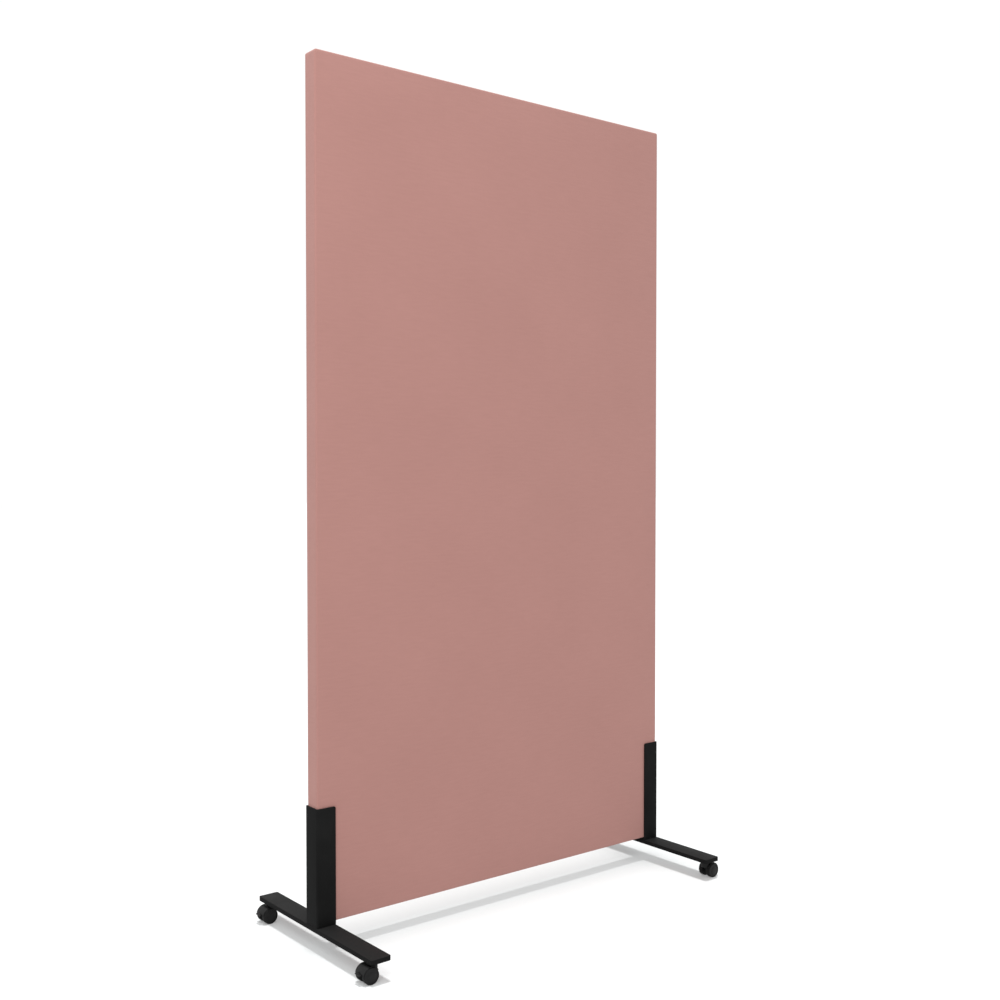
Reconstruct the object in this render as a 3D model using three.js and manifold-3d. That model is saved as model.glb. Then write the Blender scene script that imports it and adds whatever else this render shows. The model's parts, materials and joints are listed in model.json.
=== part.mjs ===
// Rolling partition: an upholstered panel held by two steel feet on swivel casters.
// Millimetres, +Z up, +X along the panel, the front face looks towards -Y.
// The origin lies on the floor under the middle of the panel.
import * as THREE from "three";
import { mergeVertices } from "three/addons/utils/BufferGeometryUtils.js";
import Module from "manifold-3d";

const wasm = await Module();
wasm.setup();

// ---------------------------------------------------------------- driving sizes

const FIT = 0.3; // gap between pieces that seat on each other

// Panel
const PANEL_WIDTH = 1000;
const PANEL_HEIGHT = 1800;
const PANEL_THICKNESS = 40;
const PANEL_EDGE_RADIUS = 3; // where the faces turn into the narrow sides
const PANEL_CORNER_RADIUS = 5; // the four corners, seen from the front
const CLOTH = 1.2;
const CLOTH_TURN_IN = 9; // cloth turned in under the panel's bottom edge
const WADDING = 4;
const FRAME_MEMBER = 45; // width of the stiles and rails
const MIDDLE_RAIL_RISE = 900; // middle rail's centre above the panel's bottom edge
const STRIP_THICKNESS = 1.2;

// Upright: one bent sheet, with a web over the panel's end and a flange on each face
const SHEET = 3.5;
const SHEET_BEND_RADIUS = 1; // inside radius of the bends
const CLASP_SQUEEZE = 0.4; // how far the sheet presses the cloth in
const CLASP_MARGIN = 1; // pressed cloth that shows past the sheet
const UPRIGHT_HEIGHT = 248;
const FLANGE_CORNER_RADIUS = 3.5;
const TAB_THICKNESS = 2.5; // base tab, welded to the web
const TAB_RELIEF = 1; // slit between the base tab and the flanges
const WELD_NUT_HEIGHT = 3.4;
const WELD_NUT_FLATS = 10;

// Foot plate
const FOOT_LENGTH = 460;
const FOOT_WIDTH = 46;
const FOOT_THICKNESS = 10;
const FOOT_CORNER_RADIUS = 4;
const FOOT_EDGE_RADIUS = 0.8;
const FOOT_LIP = 0.6; // foot plate past the upright's outer face

// Screws
const SCREW_DIAMETER = 6;
const BUTTON_HEAD_DIAMETER = 10.5;
const BUTTON_HEAD_HEIGHT = 3.3;
const BUTTON_HEAD_FLAT = 6.8; // flat top's diameter
const BUTTON_DOME_DIAMETER = 9.6; // where the dome turns in, and how high that is
const BUTTON_DOME_HEIGHT = 2.3;
const SIDE_SCREW_LENGTH = 18; // under the head
const SIDE_SCREW_HEIGHTS = [60, 200]; // above the foot plate
const SIDE_SCREW_INSET = 20; // from the panel's end
const INSERT_DIAMETER = 9.4;
const INSERT_LENGTH = 12;
const SUNK_HEAD_DIAMETER = 12;
const SUNK_HEAD_HEIGHT = 3.3;
const FOOT_SCREW_SPACING = 22;
const HEX_SOCKET = 4; // across flats
const HEX_SOCKET_DEPTH = 2;

// Casters
const CASTER_TIP_INSET = 26; // swivel axis from the foot plate's end
const CASTER_EDGE_INSET = 18; // swivel axis from the foot plate's outer edge
const CASTER_TRAIL = 11; // axle behind the swivel axis
const WHEEL_RADIUS = 17;
const WHEEL_WIDTH = 12.5;
const WHEEL_SHOULDER = 1.8;
const WHEEL_CROWN = 1; // how far the outer face bulges
const WHEEL_CHAMFER = 1.2;
const WHEEL_GAP = 0.6; // wheel to web and wheel to hood
const WEB_THICKNESS = 10.8;
const HOOD_WALL = 1.3;
const HOOD_WIDTH = 31;
const HOOD_EDGE_RADIUS = 1;
const HOOD_LEADING_ANGLE = 150; // degrees about the axle, 90 is straight up
const HOOD_TRAILING_ANGLE = 12;
const BOSS_RADIUS = 6.5; // rounded lower end of the web, under the axle
const BOSS_LEADING_ANGLE = 215;
const BOSS_TRAILING_ANGLE = 325;
const AXLE_DIAMETER = 4;
const AXLE_IN_WHEEL = 8.5;
const NECK_RADIUS = 11;
const NECK_RISE = 6.1; // hood's top to the foot plate
const NECK_CLEARANCE = 0.8; // neck's top to the foot plate
const NECK_CHAMFER = 0.8;
const NECK_SKIRT = 11; // how far the neck reaches below the hood's top
const STEM_PIN_DIAMETER = 6;
const STEM_PIN_LENGTH = 12;
const STEM_GROOVE_DEPTH = 0.6;
const STEM_GROOVE_WIDTH = 1.2;
const STEM_GROOVE_RISE = 2; // above the pin's tip
const STEM_THREAD_DIAMETER = 8;
const STEM_THREAD_LENGTH = 7.5;
const STEM_HEX = 12; // across flats
const STEM_HEX_HEIGHT = 2;

// Brake lever: a hub and arm in a slot of the web, and a pedal behind the hood
const LEVER_THICKNESS = 5.4;
const LEVER_PIVOT_RADIUS = 11.6; // pivot's distance from the axle
const LEVER_PIVOT_ANGLE = 26;
const LEVER_PIN_DIAMETER = 2.4;
const LEVER_HUB_RADIUS = 3;
const LEVER_ARM_RADIUS = 1.5;
const LEVER_SLOT_START = 7.6; // slot's inner end, from the axle
const LEVER_SLOT_LOW_ANGLE = -60;
const LEVER_SLOT_HIGH_ANGLE = 50;
const LEVER_NOTCH_HIGH_ANGLE = 24; // the notch in the hood's edge ends here
const PEDAL_WIDTH = 19;
const PEDAL_START = 19.4; // pedal's near edge, from the axle
const PEDAL_REACH = 4.2;
const PEDAL_RISE = 4.2; // pedal's middle above the axle
const PEDAL_FALL = 0.8; // from its near edge to its tip
const PEDAL_RADIUS = 1.2;
const PEDAL_SIDE_RADIUS = 0.8;

// Facets
const ARC_STEPS = 3; // half the facets of each drawn arc
const HOOD_STEPS = 5;
const EDGE_STEPS = 3; // rounded rims
const SMALL_EDGE = 1; // rims up to this radius take fewer steps
const SMALL_EDGE_STEPS = 2;
const ROUND_FACETS = 12;
const NECK_FACETS = 24;
const WHEEL_FACETS = 28;
const POCKET_FACETS = 36;
const SHOULDER_STEPS = 2;
const CROWN_STEPS = 2;

// ---------------------------------------------------------------- sizes that follow

const HOOD_INNER_RADIUS = WHEEL_RADIUS + WHEEL_GAP;
const HOOD_RADIUS = HOOD_INNER_RADIUS + HOOD_WALL;
const HOOD_TOP = WHEEL_RADIUS + HOOD_RADIUS;
const FOOT_BOTTOM = HOOD_TOP + NECK_RISE;
const FOOT_TOP = FOOT_BOTTOM + FOOT_THICKNESS;
const UPRIGHT_BOTTOM = FOOT_TOP + FIT;
const UPRIGHT_TOP = FOOT_TOP + UPRIGHT_HEIGHT;
const TAB_TOP = UPRIGHT_BOTTOM + TAB_THICKNESS;
const NUT_TOP = TAB_TOP + WELD_NUT_HEIGHT;
const PANEL_BOTTOM = NUT_TOP + FIT;
const PANEL_TOP = PANEL_BOTTOM + PANEL_HEIGHT;

const PANEL_FACE = PANEL_THICKNESS / 2;
const FILLING_INSET = CLOTH + FIT; // the cloth's outside to what it wraps
const FRAME_FACE = PANEL_FACE - FILLING_INSET - WADDING - FIT;
const FRAME_HALF = PANEL_WIDTH / 2 - FILLING_INSET;
const FRAME_BOTTOM = PANEL_BOTTOM + FILLING_INSET;
const FRAME_TOP = PANEL_TOP - FILLING_INSET;
const STILE_INNER = FRAME_HALF - FRAME_MEMBER;
const RAIL_HALF = STILE_INNER - FIT;

const CLASPED_END = PANEL_WIDTH / 2 - CLASP_SQUEEZE;
const CLASPED_FACE = PANEL_FACE - CLASP_SQUEEZE;
const WEB_INNER = CLASPED_END + FIT;
const WEB_OUTER = WEB_INNER + SHEET;
const CHANNEL_INNER = CLASPED_FACE + FIT;
const CHANNEL_OUTER = CHANNEL_INNER + SHEET;
const FOOT_OUTER = WEB_OUTER + FOOT_LIP;
const FOOT_INNER = FOOT_OUTER - FOOT_WIDTH; // the flanges end here too
const FOOT_MIDDLE = FOOT_OUTER - FOOT_WIDTH / 2;

const SCREW_HOLE_RADIUS = SCREW_DIAMETER / 2 + FIT;
const SIDE_SCREW_X = PANEL_WIDTH / 2 - SIDE_SCREW_INSET;
const SIDE_SCREW_SEAT = CHANNEL_OUTER + FIT;
const FOOT_SCREW_BOTTOM = FOOT_BOTTOM + FIT;
const INSERT_BORE_END = SIDE_SCREW_SEAT - SIDE_SCREW_LENGTH - FIT;

const CASTER_X = FOOT_OUTER - CASTER_EDGE_INSET;
const CASTER_Y = FOOT_LENGTH / 2 - CASTER_TIP_INSET;
const NECK_TOP = FOOT_BOTTOM - NECK_CLEARANCE;
const NECK_BOTTOM = HOOD_TOP - NECK_SKIRT;
const STEM_HEX_TOP = FOOT_BOTTOM - FIT;
const STEM_HEX_BOTTOM = STEM_HEX_TOP - STEM_HEX_HEIGHT;
const STEM_TIP = STEM_HEX_BOTTOM - STEM_PIN_LENGTH;
const WHEEL_INNER_FACE = WEB_THICKNESS / 2 + WHEEL_GAP;
const AXLE_BORE_RADIUS = AXLE_DIAMETER / 2 + FIT;
const PIVOT_X = LEVER_PIVOT_RADIUS * Math.cos(radians(LEVER_PIVOT_ANGLE));
const PIVOT_Z = LEVER_PIVOT_RADIUS * Math.sin(radians(LEVER_PIVOT_ANGLE));

// ---------------------------------------------------------------- materials

const CLOTH_ROSE = { color: 0xb98780, roughness: 0.95, metalness: 0 };
const WADDING_WHITE = { color: 0xe4e0d6, roughness: 1, metalness: 0 };
const CORE_GREY = { color: 0x8f8f8a, roughness: 1, metalness: 0 };
const PINE = { color: 0xd2b183, roughness: 0.7, metalness: 0 };
const STRIP_BLACK = { color: 0x262626, roughness: 0.8, metalness: 0 };
const POWDER_BLACK = { color: 0x202120, roughness: 0.6, metalness: 0.2 };
const NYLON_BLACK = { color: 0x2a2a2a, roughness: 0.5, metalness: 0 };
const WHEEL_BLACK = { color: 0x222222, roughness: 0.45, metalness: 0 };
const ZINC_STEEL = { color: 0xa9adb0, roughness: 0.35, metalness: 1 };
const BLACK_STEEL = { color: 0x1c1c1c, roughness: 0.45, metalness: 0.8 };

// ---------------------------------------------------------------- helpers

function radians(degrees) {
  return THREE.MathUtils.degToRad(degrees);
}

// A closed three.js geometry as a solid that can be joined and cut.
function solidOf(geometry) {
  const bare = geometry.clone();
  bare.deleteAttribute("normal");
  bare.deleteAttribute("uv");
  const merged = mergeVertices(bare, 1e-4);
  const corners = merged.index.array;
  const kept = [];
  for (let i = 0; i < corners.length; i += 3) {
    const [a, b, c] = corners.slice(i, i + 3);
    if (a !== b && b !== c && c !== a) kept.push(a, b, c);
  }
  return new wasm.Manifold(
    new wasm.Mesh({
      numProp: 3,
      vertProperties: merged.attributes.position.array,
      triVerts: new Uint32Array(kept),
    }),
  );
}

function geometryOf(solid) {
  const mesh = solid.getMesh();
  const indexed = new THREE.BufferGeometry();
  indexed.setAttribute("position", new THREE.BufferAttribute(mesh.vertProperties, 3));
  indexed.setIndex(new THREE.BufferAttribute(mesh.triVerts, 1));
  const flat = indexed.toNonIndexed();
  flat.computeVertexNormals();
  return flat;
}

function join(first, ...others) {
  return geometryOf(others.reduce((sum, next) => sum.add(solidOf(next)), solidOf(first)));
}

function cut(first, ...tools) {
  return geometryOf(tools.reduce((rest, tool) => rest.subtract(solidOf(tool)), solidOf(first)));
}

function common(first, second) {
  return geometryOf(solidOf(first).intersect(solidOf(second)));
}

function addPiece(group, name, geometry, look) {
  const mesh = new THREE.Mesh(geometry, new THREE.MeshStandardMaterial(look));
  mesh.name = name;
  group.add(mesh);
}

function box(x0, x1, y0, y1, z0, z1) {
  const geometry = new THREE.BoxGeometry(x1 - x0, y1 - y0, z1 - z0);
  return geometry.translate((x0 + x1) / 2, (y0 + y1) / 2, (z0 + z1) / 2);
}

// A rectangle from corner (x0, y0) to corner (x1, y1) with rounded corners.
function roundedRectangle(x0, y0, x1, y1, radius) {
  const shape = new THREE.Shape();
  shape.absarc(x1 - radius, y0 + radius, radius, -Math.PI / 2, 0);
  shape.absarc(x1 - radius, y1 - radius, radius, 0, Math.PI / 2);
  shape.absarc(x0 + radius, y1 - radius, radius, Math.PI / 2, Math.PI);
  shape.absarc(x0 + radius, y0 + radius, radius, Math.PI, 1.5 * Math.PI);
  return shape;
}

// A bar with round ends about two points, each with its own radius.
function link(x0, y0, radius0, x1, y1, radius1) {
  const along = Math.atan2(y1 - y0, x1 - x0);
  const shape = new THREE.Shape();
  shape.absarc(x0, y0, radius0, along + Math.PI / 2, along + 1.5 * Math.PI);
  shape.absarc(x1, y1, radius1, along - Math.PI / 2, along + Math.PI / 2);
  return shape;
}

// Extrudes a shape to the given depth, centred on Z = 0, with its rims rounded over.
function extruded(shape, depth, rim, steps) {
  const geometry = new THREE.ExtrudeGeometry(shape, {
    depth: depth - 2 * rim,
    curveSegments: steps,
    bevelEnabled: rim > 0,
    bevelThickness: rim,
    bevelSize: rim,
    bevelOffset: -rim,
    bevelSegments: rim > SMALL_EDGE ? EDGE_STEPS : SMALL_EDGE_STEPS,
  });
  return geometry.translate(0, 0, rim - depth / 2);
}

// A shape drawn in X and Y, standing from z0 to z1.
function standing(shape, z0, z1, rim = 0, steps = ARC_STEPS) {
  return extruded(shape, z1 - z0, rim, steps).translate(0, 0, (z0 + z1) / 2);
}

// A side view drawn in X and Z, given a width along Y, centred on Y = 0.
function sideways(shape, width, rim = 0, steps = ARC_STEPS) {
  return extruded(shape, width, rim, steps).rotateX(Math.PI / 2);
}

// A turned piece about the Z axis; the profile lists [radius, z] from bottom to top.
function turned(profile, facets = ROUND_FACETS) {
  const points = profile.map(([radius, z]) => new THREE.Vector2(radius, z));
  return new THREE.LatheGeometry(points, facets).rotateX(Math.PI / 2);
}

function rod(radius, z0, z1, facets = ROUND_FACETS) {
  const profile = [
    [0, z0],
    [radius, z0],
    [radius, z1],
    [0, z1],
  ];
  return turned(profile, facets);
}

// A hexagonal bar about the Z axis.
function hexagon(acrossFlats, z0, z1) {
  return rod(acrossFlats / 2 / Math.cos(Math.PI / 6), z0, z1, 6);
}

// A rod along Y through (x, z), from y0 to y1.
function crossRod(radius, x, z, y0, y1, facets = ROUND_FACETS) {
  return rod(radius, y0, y1, facets).rotateX(-Math.PI / 2).translate(x, 0, z);
}

// ---------------------------------------------------------------- panel

// The panel's outer form, taken in by the given distance all round.
function panelSlab(inset) {
  const half = PANEL_WIDTH / 2 - inset;
  const corner = PANEL_CORNER_RADIUS - inset;
  const outline = roundedRectangle(-half, PANEL_BOTTOM + inset, half, PANEL_TOP - inset, corner);
  return sideways(outline, PANEL_THICKNESS - 2 * inset, PANEL_EDGE_RADIUS - inset);
}

// The places of the four side screws: [name, x, z].
function sideScrewPlaces() {
  const [low, high] = SIDE_SCREW_HEIGHTS;
  return [
    ["left_lower", -SIDE_SCREW_X, FOOT_TOP + low],
    ["left_upper", -SIDE_SCREW_X, FOOT_TOP + high],
    ["right_lower", SIDE_SCREW_X, FOOT_TOP + low],
    ["right_upper", SIDE_SCREW_X, FOOT_TOP + high],
  ];
}

function sideScrewRods(radius, y0, y1) {
  return sideScrewPlaces().map(([, x, z]) => crossRod(radius, x, z, y0, y1));
}

// What the right upright presses away from the panel's faces and end.
function claspBand() {
  const inner = FOOT_INNER - CLASP_MARGIN;
  const top = UPRIGHT_TOP + CLASP_MARGIN;
  const bottom = PANEL_BOTTOM - FIT;
  const band = box(inner, WEB_OUTER, -CHANNEL_OUTER, CHANNEL_OUTER, bottom, top);
  const core = box(inner - FIT, CLASPED_END, -CLASPED_FACE, CLASPED_FACE, bottom - FIT, top + FIT);
  return cut(band, core);
}

function buildCover() {
  const lip = PANEL_FACE - CLOTH_TURN_IN;
  const mouth = box(-STILE_INNER, STILE_INNER, -lip, lip, PANEL_BOTTOM - FIT, FRAME_BOTTOM);
  const holes = sideScrewRods(SCREW_HOLE_RADIUS, FRAME_FACE, PANEL_FACE + FIT);
  const bands = [claspBand(), claspBand().rotateZ(Math.PI)];
  return cut(panelSlab(0), panelSlab(CLOTH), mouth, ...holes, ...bands);
}

// The strip fills the cover's mouth, flush with the cloth.
function buildStrip() {
  const half = PANEL_FACE - CLOTH_TURN_IN - FIT;
  const top = FRAME_BOTTOM - FIT;
  return box(-RAIL_HALF, RAIL_HALF, -half, half, top - STRIP_THICKNESS, top);
}

function buildWadding() {
  const layer = box(
    -FRAME_HALF,
    FRAME_HALF,
    FRAME_FACE + FIT,
    PANEL_FACE,
    FRAME_BOTTOM,
    FRAME_TOP,
  );
  return common(panelSlab(FILLING_INSET), layer);
}

function buildStile() {
  const bar = box(STILE_INNER, FRAME_HALF, -FRAME_FACE, FRAME_FACE, FRAME_BOTTOM, FRAME_TOP);
  return common(panelSlab(FILLING_INSET), bar);
}

function buildPanel() {
  const panel = new THREE.Group();
  addPiece(panel, "fabric_cover", buildCover(), CLOTH_ROSE);
  addPiece(panel, "bottom_strip", buildStrip(), STRIP_BLACK);

  const wadding = buildWadding();
  const screwHoles = sideScrewRods(SCREW_HOLE_RADIUS, FRAME_FACE, PANEL_FACE);
  addPiece(panel, "front_wadding", wadding.clone().rotateZ(Math.PI), WADDING_WHITE);
  addPiece(panel, "back_wadding", cut(wadding, ...screwHoles), WADDING_WHITE);

  const stile = buildStile();
  const insertEnd = FRAME_FACE - INSERT_LENGTH - FIT;
  const insertHoles = sideScrewRods(INSERT_DIAMETER / 2 + FIT, insertEnd, PANEL_FACE);
  addPiece(panel, "left_stile", cut(stile.clone().rotateZ(Math.PI), ...insertHoles), PINE);
  addPiece(panel, "right_stile", cut(stile, ...insertHoles), PINE);

  const bottomRail = FRAME_BOTTOM;
  const middleRail = PANEL_BOTTOM + MIDDLE_RAIL_RISE - FRAME_MEMBER / 2;
  const topRail = FRAME_TOP - FRAME_MEMBER;
  const bay = (z0, z1) => box(-RAIL_HALF, RAIL_HALF, -FRAME_FACE, FRAME_FACE, z0, z1);
  addPiece(panel, "bottom_rail", bay(bottomRail, bottomRail + FRAME_MEMBER), PINE);
  addPiece(panel, "middle_rail", bay(middleRail, middleRail + FRAME_MEMBER), PINE);
  addPiece(panel, "top_rail", bay(topRail, topRail + FRAME_MEMBER), PINE);

  const lowerCore = bay(bottomRail + FRAME_MEMBER + FIT, middleRail - FIT);
  const upperCore = bay(middleRail + FRAME_MEMBER + FIT, topRail - FIT);
  addPiece(panel, "lower_core", lowerCore, CORE_GREY);
  addPiece(panel, "upper_core", upperCore, CORE_GREY);
  return panel;
}

// ---------------------------------------------------------------- screws and inserts

// A button-head screw along Z: its seat at z = 0, the shank below it and the head above.
function buttonScrew() {
  const profile = [
    [0, -SIDE_SCREW_LENGTH],
    [SCREW_DIAMETER / 2, -SIDE_SCREW_LENGTH],
    [SCREW_DIAMETER / 2, 0],
    [BUTTON_HEAD_DIAMETER / 2, 0],
    [BUTTON_DOME_DIAMETER / 2, BUTTON_DOME_HEIGHT],
    [BUTTON_HEAD_FLAT / 2, BUTTON_HEAD_HEIGHT],
    [0, BUTTON_HEAD_HEIGHT],
  ];
  const top = BUTTON_HEAD_HEIGHT + FIT;
  return cut(turned(profile), hexagon(HEX_SOCKET, BUTTON_HEAD_HEIGHT - HEX_SOCKET_DEPTH, top));
}

// A blind threaded insert along Z, its open end at z = 0.
function threadedInsert() {
  const boreDepth = FRAME_FACE - INSERT_BORE_END;
  return cut(rod(INSERT_DIAMETER / 2, -INSERT_LENGTH, 0), rod(SCREW_HOLE_RADIUS, -boreDepth, FIT));
}

// A countersunk screw along Z with its flat face at the bottom.
function sunkScrew(z0, z1) {
  const profile = [
    [0, z0],
    [SUNK_HEAD_DIAMETER / 2, z0],
    [SCREW_DIAMETER / 2, z0 + SUNK_HEAD_HEIGHT],
    [SCREW_DIAMETER / 2, z1],
    [0, z1],
  ];
  return cut(turned(profile), hexagon(HEX_SOCKET, z0 - FIT, z0 + HEX_SOCKET_DEPTH));
}

// The hole that a countersunk screw leaves in the foot plate.
function sunkScrewHole() {
  const profile = [
    [0, FOOT_BOTTOM - FIT],
    [SUNK_HEAD_DIAMETER / 2 + FIT, FOOT_BOTTOM - FIT],
    [SUNK_HEAD_DIAMETER / 2 + FIT, FOOT_SCREW_BOTTOM],
    [SCREW_HOLE_RADIUS, FOOT_SCREW_BOTTOM + SUNK_HEAD_HEIGHT],
    [SCREW_HOLE_RADIUS, FOOT_TOP + FIT],
    [0, FOOT_TOP + FIT],
  ];
  return turned(profile);
}

function buildSideFixings() {
  const fixings = new THREE.Group();
  const screw = buttonScrew().rotateX(-Math.PI / 2);
  const insert = threadedInsert().rotateX(-Math.PI / 2);
  for (const [place, x, z] of sideScrewPlaces()) {
    const screwAtPlace = screw.clone().translate(x, SIDE_SCREW_SEAT, z);
    const insertAtPlace = insert.clone().translate(x, FRAME_FACE, z);
    addPiece(fixings, place + "_panel_screw", screwAtPlace, BLACK_STEEL);
    addPiece(fixings, place + "_insert", insertAtPlace, ZINC_STEEL);
  }
  return fixings;
}

// ---------------------------------------------------------------- feet

// Both feet are drawn with their outer side towards +X; the left one is turned round.

// The channel's section, seen from above.
function channelSection() {
  const inner = SHEET_BEND_RADIUS;
  const outer = SHEET_BEND_RADIUS + SHEET;
  const shape = new THREE.Shape();
  shape.moveTo(FOOT_INNER, -CHANNEL_OUTER);
  shape.absarc(WEB_OUTER - outer, outer - CHANNEL_OUTER, outer, -Math.PI / 2, 0);
  shape.absarc(WEB_OUTER - outer, CHANNEL_OUTER - outer, outer, 0, Math.PI / 2);
  shape.lineTo(FOOT_INNER, CHANNEL_OUTER);
  shape.lineTo(FOOT_INNER, CHANNEL_INNER);
  shape.absarc(WEB_INNER - inner, CHANNEL_INNER - inner, inner, Math.PI / 2, 0, true);
  shape.absarc(WEB_INNER - inner, inner - CHANNEL_INNER, inner, 0, -Math.PI / 2, true);
  shape.lineTo(FOOT_INNER, -CHANNEL_INNER);
  return shape;
}

// The upright seen from the front, with the flanges' free upper corners rounded.
function flangeOutline() {
  const radius = FLANGE_CORNER_RADIUS;
  const shape = new THREE.Shape();
  shape.moveTo(FOOT_OUTER, UPRIGHT_BOTTOM);
  shape.lineTo(FOOT_OUTER, UPRIGHT_TOP);
  shape.absarc(FOOT_INNER + radius, UPRIGHT_TOP - radius, radius, Math.PI / 2, Math.PI);
  shape.lineTo(FOOT_INNER, UPRIGHT_BOTTOM);
  return shape;
}

function footScrewPlaces() {
  return [
    ["front", -FOOT_SCREW_SPACING / 2],
    ["rear", FOOT_SCREW_SPACING / 2],
  ];
}

function buildUpright() {
  const channel = standing(channelSection(), UPRIGHT_BOTTOM, UPRIGHT_TOP);
  const outline = sideways(flangeOutline(), 2 * CHANNEL_OUTER + FIT);
  const tabHalf = CHANNEL_INNER - TAB_RELIEF;
  const tabEnd = FOOT_INNER + TAB_RELIEF;
  const tab = box(tabEnd, WEB_OUTER - SHEET / 2, -tabHalf, tabHalf, UPRIGHT_BOTTOM, TAB_TOP);
  const nuts = [];
  const bores = [];
  for (const [, y] of footScrewPlaces()) {
    const nut = hexagon(WELD_NUT_FLATS, TAB_TOP - TAB_THICKNESS / 2, NUT_TOP);
    const bore = rod(SCREW_HOLE_RADIUS, FOOT_TOP, PANEL_BOTTOM);
    nuts.push(nut.translate(FOOT_MIDDLE, y, 0));
    bores.push(bore.translate(FOOT_MIDDLE, y, 0));
  }
  return cut(join(common(channel, outline), tab, ...nuts), ...bores);
}

function buildFootPlate() {
  const half = FOOT_LENGTH / 2;
  const outline = roundedRectangle(FOOT_INNER, -half, FOOT_OUTER, half, FOOT_CORNER_RADIUS);
  const plate = standing(outline, FOOT_BOTTOM, FOOT_TOP, FOOT_EDGE_RADIUS);
  const screwHoles = footScrewPlaces().map(([, y]) => sunkScrewHole().translate(FOOT_MIDDLE, y, 0));
  const stemRadius = STEM_THREAD_DIAMETER / 2 + FIT;
  const stemTop = STEM_HEX_TOP + STEM_THREAD_LENGTH + FIT;
  const stemHoles = [-CASTER_Y, CASTER_Y].map((y) =>
    rod(stemRadius, FOOT_BOTTOM - FIT, stemTop).translate(CASTER_X, y, 0),
  );
  return cut(plate, ...screwHoles, ...stemHoles);
}

function buildFeet() {
  const feet = new THREE.Group();
  const upright = buildUpright();
  const plate = buildFootPlate();
  const screw = sunkScrew(FOOT_SCREW_BOTTOM, NUT_TOP - FIT);
  const sideHoles = sideScrewRods(SCREW_HOLE_RADIUS, CLASPED_FACE, CHANNEL_OUTER + FIT);
  for (const [side, turn, sign] of [
    ["left", Math.PI, -1],
    ["right", 0, 1],
  ]) {
    const channel = cut(upright.clone().rotateZ(turn), ...sideHoles);
    addPiece(feet, side + "_upright", channel, POWDER_BLACK);
    addPiece(feet, side + "_foot_plate", plate.clone().rotateZ(turn), POWDER_BLACK);
    for (const [end, y] of footScrewPlaces()) {
      const screwAtPlace = screw.clone().translate(sign * FOOT_MIDDLE, y, 0);
      addPiece(feet, side + "_" + end + "_foot_screw", screwAtPlace, BLACK_STEEL);
    }
  }
  return feet;
}

// ---------------------------------------------------------------- casters

// A caster stands on the floor with its swivel axis on Z and trails towards +X.

// One moulding: a hood over both wheels, a web between them and a neck for the stem.
function buildHousing() {
  const side = new THREE.Shape();
  side.absarc(0, 0, HOOD_RADIUS, radians(HOOD_TRAILING_ANGLE), radians(HOOD_LEADING_ANGLE));
  side.absarc(0, 0, BOSS_RADIUS, radians(BOSS_LEADING_ANGLE), radians(BOSS_TRAILING_ANGLE));
  const block = sideways(side, HOOD_WIDTH, HOOD_EDGE_RADIUS, HOOD_STEPS);
  block.translate(CASTER_TRAIL, 0, WHEEL_RADIUS);
  const neck = turned(
    [
      [0, NECK_BOTTOM],
      [NECK_RADIUS - NECK_CHAMFER, NECK_BOTTOM],
      [NECK_RADIUS, NECK_BOTTOM + NECK_CHAMFER],
      [NECK_RADIUS, NECK_TOP - NECK_CHAMFER],
      [NECK_RADIUS - NECK_CHAMFER, NECK_TOP],
      [0, NECK_TOP],
    ],
    NECK_FACETS,
  );
  const pockets = [-1, 1].map((sign) => {
    const [y0, y1] = [(sign * WEB_THICKNESS) / 2, sign * HOOD_WIDTH].sort((a, b) => a - b);
    return crossRod(HOOD_INNER_RADIUS, CASTER_TRAIL, WHEEL_RADIUS, y0, y1, POCKET_FACETS);
  });
  const axleBore = crossRod(
    AXLE_BORE_RADIUS,
    CASTER_TRAIL,
    WHEEL_RADIUS,
    -WEB_THICKNESS,
    WEB_THICKNESS,
  );
  const stemBore = rod(STEM_PIN_DIAMETER / 2 + FIT, STEM_TIP - FIT, FOOT_BOTTOM);
  const hexRadius = STEM_HEX / 2 / Math.cos(Math.PI / 6) + FIT;
  const hexRecess = rod(hexRadius, STEM_HEX_BOTTOM - FIT, FOOT_BOTTOM);
  const [slot, notch] = [leverSlot(), leverNotch()];
  const pin = crossRod(
    LEVER_PIN_DIAMETER / 2,
    CASTER_TRAIL + PIVOT_X,
    WHEEL_RADIUS + PIVOT_Z,
    FIT - WEB_THICKNESS / 2,
    WEB_THICKNESS / 2 - FIT,
  );
  return join(cut(join(block, neck), ...pockets, axleBore, stemBore, hexRecess, slot, notch), pin);
}

// A sector of a ring about the axle, as wide as the brake lever and its clearance.
function leverSector(inner, outer, lowAngle, highAngle) {
  const [low, high] = [radians(lowAngle), radians(highAngle)];
  const sector = new THREE.Shape();
  sector.absarc(0, 0, outer, low, high);
  sector.absarc(0, 0, inner, high, low, true);
  const tool = sideways(sector, LEVER_THICKNESS + 2 * FIT, 0, HOOD_STEPS);
  return tool.translate(CASTER_TRAIL, 0, WHEEL_RADIUS);
}

// The slot in the web that the brake lever works in, open behind and below.
function leverSlot() {
  const [low, high] = [LEVER_SLOT_LOW_ANGLE, LEVER_SLOT_HIGH_ANGLE];
  return leverSector(LEVER_SLOT_START, HOOD_INNER_RADIUS, low, high);
}

// The notch in the hood's trailing edge that lets the lever's arm out.
function leverNotch() {
  const outside = HOOD_RADIUS + HOOD_WALL;
  return leverSector(WHEEL_RADIUS, outside, LEVER_SLOT_LOW_ANGLE, LEVER_NOTCH_HIGH_ANGLE);
}

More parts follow.
